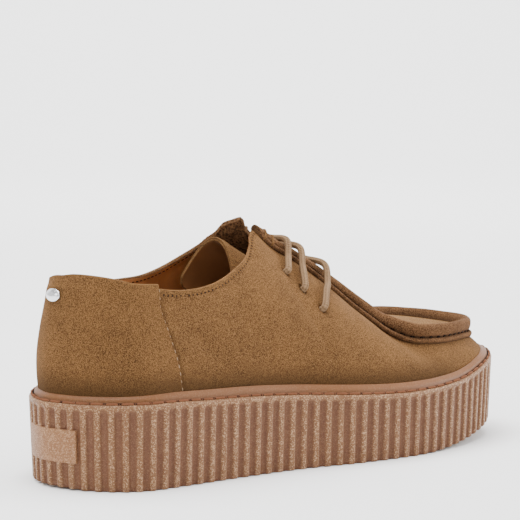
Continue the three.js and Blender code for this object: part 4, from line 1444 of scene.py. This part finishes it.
class SHOE_OT_roll(ShoePiece, bpy.types.Operator):
    """Build the raised seam round the throat and the apron with its needle holes."""

    bl_idname = "shoe.roll"
    bl_label = "Raised Seam"

    def make(self, sizes):
        turns = fine_turns(0.004, THROAT_TOP)
        lip, _, inward, up = eased_lip(turns)
        top = seam_top(turns)
        rings = []
        run = run_lengths(lip)
        for inwards, share, lifted, _ in ROLL_SECTION:
            sway = 0.14 * MM * np.sin(run / (9.2 * MM) + 3 * share) * share
            sway += 0.1 * MM * np.sin(run / (3.1 * MM) + share) * share
            out = inwards * SEAM_WIDTH + sway
            high = share * top + lifted * MM * np.where(share > 0, 1 - share, 1)
            rings.append(lip + inward * out[:, None] + up * high[:, None])
        grid = np.array(rings).transpose(1, 0, 2)
        # Painted shade in the roll's creases, through the low mask
        dark = np.broadcast_to([row[3] for row in ROLL_SECTION], grid.shape[:2])
        shell = Shell()
        shell.solid(grid, low=dark)
        piece = shell.build("moccasin_roll", [finish("roll")], sharp=80)
        settle(piece, "seam_suede", "apron_seam")
        self.holes(sizes)
        self.whips()

    def holes(self, sizes):
        turns = fine_turns(0.003, 0.56)
        lip, _, inward, up = eased_lip(turns)
        path = lip + up * 2.3 * MM
        points, along = spaced(path, sizes.roll_stitch)
        near = nearest(path, points)
        up, inward = up[near], inward[near]
        face = unit(up * 0.35 - inward)
        # Dark needle holes along the roll: painted shade in the holes
        hole = dimple(1.25 * MM)
        sew("roll_holes", hole, points, along, face, finish("dark"), "seam_suede", 0.2)
        tail = capsule(1.7 * MM, 0.24 * MM)
        lying = unit(up + along * 0.8)
        places = points - up * 0.5 * MM + face * 0.12 * MM
        sew("roll_thread", tail, places, lying, face, finish("roll"), "seam_suede", 0.3)

    def whips(self):
        """Thread wound over the seam at the top of the throat."""
        loop = [
            (-0.42, 0.1), (-0.38, 0.66), (-0.05, 0.72), (0.15, 0.95), (0.5, 1.06), (0.85, 0.92),
            (1.02, 0.5), (1.0, 0.0),
        ]
        shell = Shell()
        for side in (-1, 1):
            for turn in (0.5, 0.513):
                spot = np.array([side * turn])
                top = seam_top(spot)[0]
                knots = [at_lip(spot, a * SEAM_WIDTH, b * top + 0.1 * MM)[0] for a, b in loop]
                shell.solid(tube_rings(through(knots, 5), 0.45 * MM, 6))
        piece = shell.build("whip_stitches", [finish("brown")])
        settle(piece, "seam_suede")


# Section of the tongue's edge: depth in millimetres, share drawn back from the edge, and painted shade
TONGUE_EDGE = [
    (0.0, 0.5, 0.0), (0.25, 0.12, 0.0), (0.5, 0.0, 0.0), (0.85, 0.0, 0.4), (0.95, 0.25, 1.0),
    (1.15, 0.25, 1.0), (1.25, 0.0, 0.4), (1.7, 0.0, 0.0), (1.95, 0.12, 0.0), (2.2, 0.5, 0.3),
]


class SHOE_OT_tongue(ShoePiece, bpy.types.Operator):
    """Build the lined tongue with its rounded free end."""

    bl_idname = "shoe.tongue"
    bl_label = "Tongue"

    def make(self, sizes):
        lengths = np.linspace(0, 1, 60)[:, None]
        widths = np.linspace(-1, 1, 70)[None, :]
        round_start = 0.82
        round_depth = 0.16
        end = np.clip((lengths - round_start) / (1 - round_start), 0, 1)
        narrow = 1 - round_depth * (1 - np.sqrt(np.clip(1 - end**2, 0, 1)))
        width = widths * narrow
        length = np.broadcast_to(lengths, width.shape)
        outer = tongue_at(length, width)
        reach = 0.01
        sideways = tongue_at(length, width + reach) - tongue_at(length, width - reach)
        ahead = tongue_at(length - reach, width) - tongue_at(length + reach, width)
        normal = unit(np.cross(ahead, sideways))
        inset = 0.45 * MM
        top = self.rim(outer, inset)
        low = self.rim(outer - normal * TONGUE_THICKNESS, inset)
        shell = Shell()
        # Painted shade on the tongue's underside, darkest at its sewn front and towards the outer side
        deep = 0.8 + 0.1 * smooth(1 - length, 0, 0.2) + 0.3 * smooth(-width, -0.6, 0.6)
        shell.sheet(top, slot=0)
        shell.sheet(low, slot=1, flip=True, deep=np.minimum(deep, 1))
        ring = self.border(outer)
        inwards = 2 * (ring - self.border(top))
        down = self.border(normal) * MM
        wall = [ring - inwards * back - down * depth for depth, back, _ in TONGUE_EDGE]
        shown = np.array([row[2] for row in TONGUE_EDGE])[:, None]
        dark = np.broadcast_to(shown, (len(TONGUE_EDGE), len(ring)))
        # Painted shade in the edge's middle groove, and a faint painted highlight over the whole edge
        shell.sheet(np.array(wall), around=True, slot=0, flip=True, low=dark, edge=0.25)
        piece = shell.build("suede_tongue", [finish("suede"), finish("lining")], sharp=70)
        settle(piece, "upper_suede", "tongue")
        self.stitches(sizes)

    def rim(self, grid, inset):
        """The grid with its border drawn in by inset."""
        pulled = grid.copy()
        pulled[0] += unit(grid[1] - grid[0]) * inset
        pulled[-1] += unit(grid[-2] - grid[-1]) * inset
        pulled[:, 0] += unit(grid[:, 1] - grid[:, 0]) * inset
        pulled[:, -1] += unit(grid[:, -2] - grid[:, -1]) * inset
        return pulled

    def border(self, grid):
        return np.concatenate([grid[0, :-1], grid[:-1, -1], grid[-1, :0:-1], grid[:0:-1, 0]])

    def stitches(self, sizes):
        width = np.linspace(-0.78, 0.78, 80)
        path = tongue_at(np.full(width.shape, 0.965), width)
        points, along = spaced(path, sizes.collar_stitch)
        across = unit(tongue_at(np.full(width.shape, 0.95), width) - path)
        near = nearest(path, points)
        up = unit(np.cross(along, across[near]))
        up *= np.where(up[:, 2:] < 0, -1, 1)
        stitch = capsule(sizes.collar_stitch * 0.72, 0.27 * MM)
        sew("tongue_stitches", stitch, points + up * 0.05 * MM, along, up, finish("brown"), "upper_suede")


class SHOE_OT_insole(ShoePiece, bpy.types.Operator):
    """Build the leather sock that covers the insole."""

    bl_idname = "shoe.insole"
    bl_label = "Insole"

    def make(self, sizes):
        turns = fine_turns(0.01)
        if len(turns) % 2:
            turns = turns[:-1]
        rises = np.linspace(0, 0.5, 51)
        wall = upper_at(turns[:, None], rises[None, :])
        _, out = plan_at(turn_share(turns))
        level = wall[:, :1, 2] + INSOLE_THICKNESS + FIT_GAP
        side = wall[np.arange(len(turns)), row_above(wall, level)]
        rings = []
        section = ((3.6, 0), (3.5, 2.9), (3.9, 3.7), (4.8, 4.0), (8, 4.1), (13, 4.0))
        for inset, height in section:
            ring = side - out * inset * MM
            rings.append(raised(ring, bed_height(ring[:, 0]) + FIT_GAP + height * MM))
        shell = Shell()
        shell.solid(np.array(rings))
        piece = shell.build("leather_sock", [finish("sock")], sharp=60)
        settle(piece, "lining_leather", "insole")


class SHOE_OT_lace(ShoePiece, bpy.types.Operator):
    """Build the one lace that runs through all the holes."""

    bl_idname = "shoe.lace"
    bl_label = "Lace"

    def bar(self, row):
        """Points of a bar from its outer hole over the throat to its inner hole."""
        clear = LACE_RADIUS + FIT_GAP + LACE_SLACK

        def half(side):
            over = row["outer"] if side < 0 else row["inner"]

            def wall(part, climb, lift):
                turn = np.array([side * lerp(row["hole"], over, part)])
                return off_wall(turn, np.array([lerp(row["rise"], 1, climb)]), lift)[0]

            top = np.array([side * over])
            return [
                wall(0, 0, -UPPER_WALL / 2),
                wall(0, 0, LACE_RADIUS),
                *(wall(part, climb, clear) for part, climb in LACE_BENDS),
                at_lip(top, LACE_CROSSING * SEAM_WIDTH, seam_top(top) + clear)[0],
            ]

        outer, inner = half(-1), half(1)[::-1]
        top = lerp(outer[-1], inner[0], 0.5) + [0, 0, LACE_SLACK]
        return [*outer, top, *inner]

    def under(self, side, first, second=None):
        """Hidden run inside the wall between two holes, or a short end past one."""
        lift = -(UPPER_WALL + LACE_RADIUS + 0.4 * MM)
        start = np.array([first["hole"], first["rise"]])
        stop = np.array([second["hole"], second["rise"]]) if second else start - [0.012, 0.2]
        points = []
        for part in (0.12, 0.5, 0.88 if second else 1.0):
            turn, rise = lerp(start, stop, part)
            points.append(off_wall(np.array([side * turn]), np.array([rise]), lift)[0])
        return points

    def make(self, sizes):
        upper, middle, lower = (self.bar(row) for row in LACE_BARS)
        knots = [
            *self.under(1, LACE_BARS[0])[::-1], *upper[::-1],
            *self.under(-1, LACE_BARS[0], LACE_BARS[1]), *middle,
            *self.under(1, LACE_BARS[1], LACE_BARS[2]), *lower[::-1],
            *self.under(-1, LACE_BARS[2]),
        ]
        path = through(knots, 14)
        sides = 14
        shell = Shell()
        rings = tube_rings(path, LACE_RADIUS, sides)
        shell.sheet(rings, u=np.arange(sides) / sides, v=run_lengths(path), around=True)
        shell.across(0, sides)
        shell.across(sides * (len(path) - 1), sides, flip=True)
        piece = shell.build("round_lace", [finish("lace")])
        settle(piece, "lace_cord", "lace_upper", "lace_middle", "lace_lower")


class SHOE_OT_stitching(ShoePiece, bpy.types.Operator):
    """Sew the collar and the back seams."""

    bl_idname = "shoe.stitching"
    bl_label = "Stitching"

    def make(self, sizes):
        self.collar(sizes)
        self.back_seams(sizes)

    def collar(self, sizes):
        rows = [
            ("outer_collar", -0.489, -0.264, 1.56, 0.0, "brown"),
            ("inner_collar", 0.264, 0.489, 1.56, 0.0, "brown"),
            # Thread on the lining takes the dark colour: painted shade inside the collar
            ("lining_collar", -0.45, 0.47, 1.62, -UPPER_WALL, "dark"),
        ]
        for name, start, stop, rise, lift, colour in rows:
            turns = np.linspace(start, stop, 700)
            rises = np.full(turns.shape, rise)
            relief = wall_relief(turns, rises)
            path = off_wall(turns, rises, relief + lift)
            way = upper_normal(turns, rises) * (1 if lift == 0 else -1)
            points, along = spaced(path, sizes.collar_stitch)
            near = nearest(path, points)
            up = way[near]
            stitch = capsule(sizes.collar_stitch * 0.66, 0.28 * MM)
            sew(name, stitch, points, along, up, finish(colour), "upper_suede", 0.12)
            if lift == 0:
                # Dark needle holes between the stitches: painted shade in the holes
                hole = dimple(0.5 * MM)
                along, up = along[1:], up[1:]
                between = (points[1:] + points[:-1]) / 2 + up * 0.04 * MM
                sew(name + "_holes", hole, between, along, up, finish("dark"), "upper_suede", 0.2, seed=5)

    def back_seams(self, sizes):
        rises = np.linspace(0.08, 1.85, 120)
        for side, name in ((-1, "outer_seam"), (1, "inner_seam")):
            turns = side * (COUNTER_SEAM.read("turn", rises) + 0.0012)
            path = off_wall(turns, rises, wall_relief(turns, rises))
            points, along = spaced(path, sizes.seam_stitch)
            near = nearest(path, points)
            up = upper_normal(turns, rises)[near]
            stitch = capsule(1.3 * MM, 0.25 * MM)
            sew(name, stitch, points, along, up, finish("thread"), "upper_suede", 0.35, seed=11)


class SHOE_OT_stud(ShoePiece, bpy.types.Operator):
    """Build the plain oval stud on the heel back."""

    bl_idname = "shoe.stud"
    bl_label = "Heel Stud"

    def make(self, sizes):
        rises = np.linspace(0, 1, 400)
        wall = upper_at(np.zeros(rises.shape), rises)
        rise = np.interp(STUD_ABOVE, wall[:, 2] - wall[0, 2], rises)
        spot, normal = upper_at(0.0, rise), upper_normal(0.0, rise)
        across = np.array([0, 1.0, 0])
        climb = unit(np.cross(normal, across))
        profile = [
            (0.86, 0.0), (0.98, 0.04), (1.0, 0.2), (0.97, 0.34), (0.88, 0.42), (0.82, 0.44), (0.78, 0.5),
            (0.66, 0.74), (0.48, 0.9), (0.26, 0.98), (0.06, 1.0),
        ]
        angle = ring_angles(40)[:, None]
        oval = across * np.cos(angle) * STUD_WIDTH / 2 + climb * np.sin(angle) * STUD_HEIGHT / 2
        rings = []
        for wide, high in profile:
            rings.append(spot + oval * wide + normal * (high * STUD_THICKNESS + 0.3 * MM))
        shell = Shell()
        shell.solid(np.array(rings))
        piece = shell.build("oval_stud", [finish("metal")], sharp=45)
        settle(piece, "stud_metal", "heel_stud")


class SHOE_OT_stage(ShoePiece, bpy.types.Operator):
    """Set up the pale floor, the soft lights and the camera."""

    bl_idname = "shoe.stage"
    bl_label = "Stage"

    def make(self, sizes):
        self.floor()
        self.lights()
        self.camera()

    def floor(self):
        """A wide level disc that curves up into a wall, from radii and heights in metres."""
        profile = [
            (0, 0), (1.5, 0), (2.6, 0), (3.3, 0.06), (3.9, 0.35), (4.3, 0.95), (4.5, 1.8), (4.6, 3.2),
        ]
        path = through(profile, 8)
        sides = 72
        angle = ring_angles(sides)
        radius, height = path[:, :1], path[:, 1:]
        grid = np.stack([radius * np.cos(angle), radius * np.sin(angle), np.repeat(height, sides, 1)], -1)
        shell = Shell()
        shell.sheet(grid[1:], around=True, flip=True)
        shell.across(0, sides)
        pale = Finish("pale_floor")
        matte = pale.done(base_color=(0.9, 0.9, 0.9, 1), roughness=0.9, specular_ior_level=0.1)
        shell.build("floor", [matte], shift=False)

    def lights(self):
        """Square lights: name, place, point aimed at, side and power in watts."""
        rows = [
            ("top_box", (-0.15, 0.1, 1.5), (0, 0, 0.06), 1.3, 64),
            ("heel_box", (-1.5, -0.15, 0.8), (0, 0, 0.06), 0.8, 7),
            ("front_box", (1.9, -1.0, 0.7), (0.05, 0, 0.05), 1.4, 56),
            ("wall_box", (1.1, 1.3, 2.6), (2.9, 3.4, 0.9), 1.6, 240),
        ]
        for name, place, aim, size, power in rows:
            light = bpy.data.lights.new(name, "AREA")
            light.shape = "SQUARE"
            light.size = size
            light.energy = power
            lamp = bpy.data.objects.new(name, light)
            lamp.location = place
            way = Vector(aim) - lamp.location
            lamp.rotation_euler = way.to_track_quat("-Z", "Y").to_euler()
            bpy.context.scene.collection.objects.link(lamp)
        world = bpy.data.worlds.new("pale_room")
        world.use_nodes = True
        background = world.node_tree.nodes["Background"]
        background.inputs["Color"].default_value = (1, 1, 1, 1)
        background.inputs["Strength"].default_value = 0.7
        bpy.context.scene.world = world

    def camera(self):
        """The photograph's camera, with its optical centre below the middle of the frame."""
        pitch = math.radians(6.0949)
        frame_width = 520
        focal_pixels = 2014
        centre_below = 40
        data = bpy.data.cameras.new("camera")
        data.sensor_width = 36
        data.lens = focal_pixels * data.sensor_width / frame_width
        data.shift_y = centre_below / frame_width
        camera = bpy.data.objects.new("camera", data)
        camera.location = (-0.6449, -0.741, 0.1806)
        look = Vector((0.6494 * math.cos(pitch), 0.7604 * math.cos(pitch), -math.sin(pitch)))
        camera.rotation_euler = look.to_track_quat("-Z", "Y").to_euler()
        bpy.context.scene.collection.objects.link(camera)
        bpy.context.scene.camera = camera


OPERATORS = (
    SHOE_OT_stage,
    SHOE_OT_sole,
    SHOE_OT_welt,
    SHOE_OT_upper,
    SHOE_OT_roll,
    SHOE_OT_tongue,
    SHOE_OT_insole,
    SHOE_OT_lace,
    SHOE_OT_stitching,
    SHOE_OT_stud,
)


class SHOE_PT_panel(bpy.types.Panel):
    bl_label = "Suede Platform Shoe"
    bl_idname = "SHOE_PT_panel"
    bl_space_type = "VIEW_3D"
    bl_region_type = "UI"
    bl_category = "Shoe"

    def draw(self, context):
        for operator in OPERATORS:
            self.layout.operator(operator.bl_idname)
        for group in (context.scene.shoe_sizes, context.scene.shoe_colours):
            for name in group.__annotations__:
                self.layout.prop(group, name)


CLASSES = (ShoeColours, ShoeSizes, *OPERATORS, SHOE_PT_panel)


def register():
    for item in CLASSES:
        bpy.utils.register_class(item)
    bpy.types.Scene.shoe_colours = bpy.props.PointerProperty(type=ShoeColours)
    bpy.types.Scene.shoe_sizes = bpy.props.PointerProperty(type=ShoeSizes)


def unregister():
    del bpy.types.Scene.shoe_sizes
    del bpy.types.Scene.shoe_colours
    for item in reversed(CLASSES):
        bpy.utils.unregister_class(item)


def main():
    register()
    for operator in OPERATORS:
        getattr(bpy.ops.shoe, operator.bl_idname.split(".")[1])()


if __name__ == "__main__":
    main()
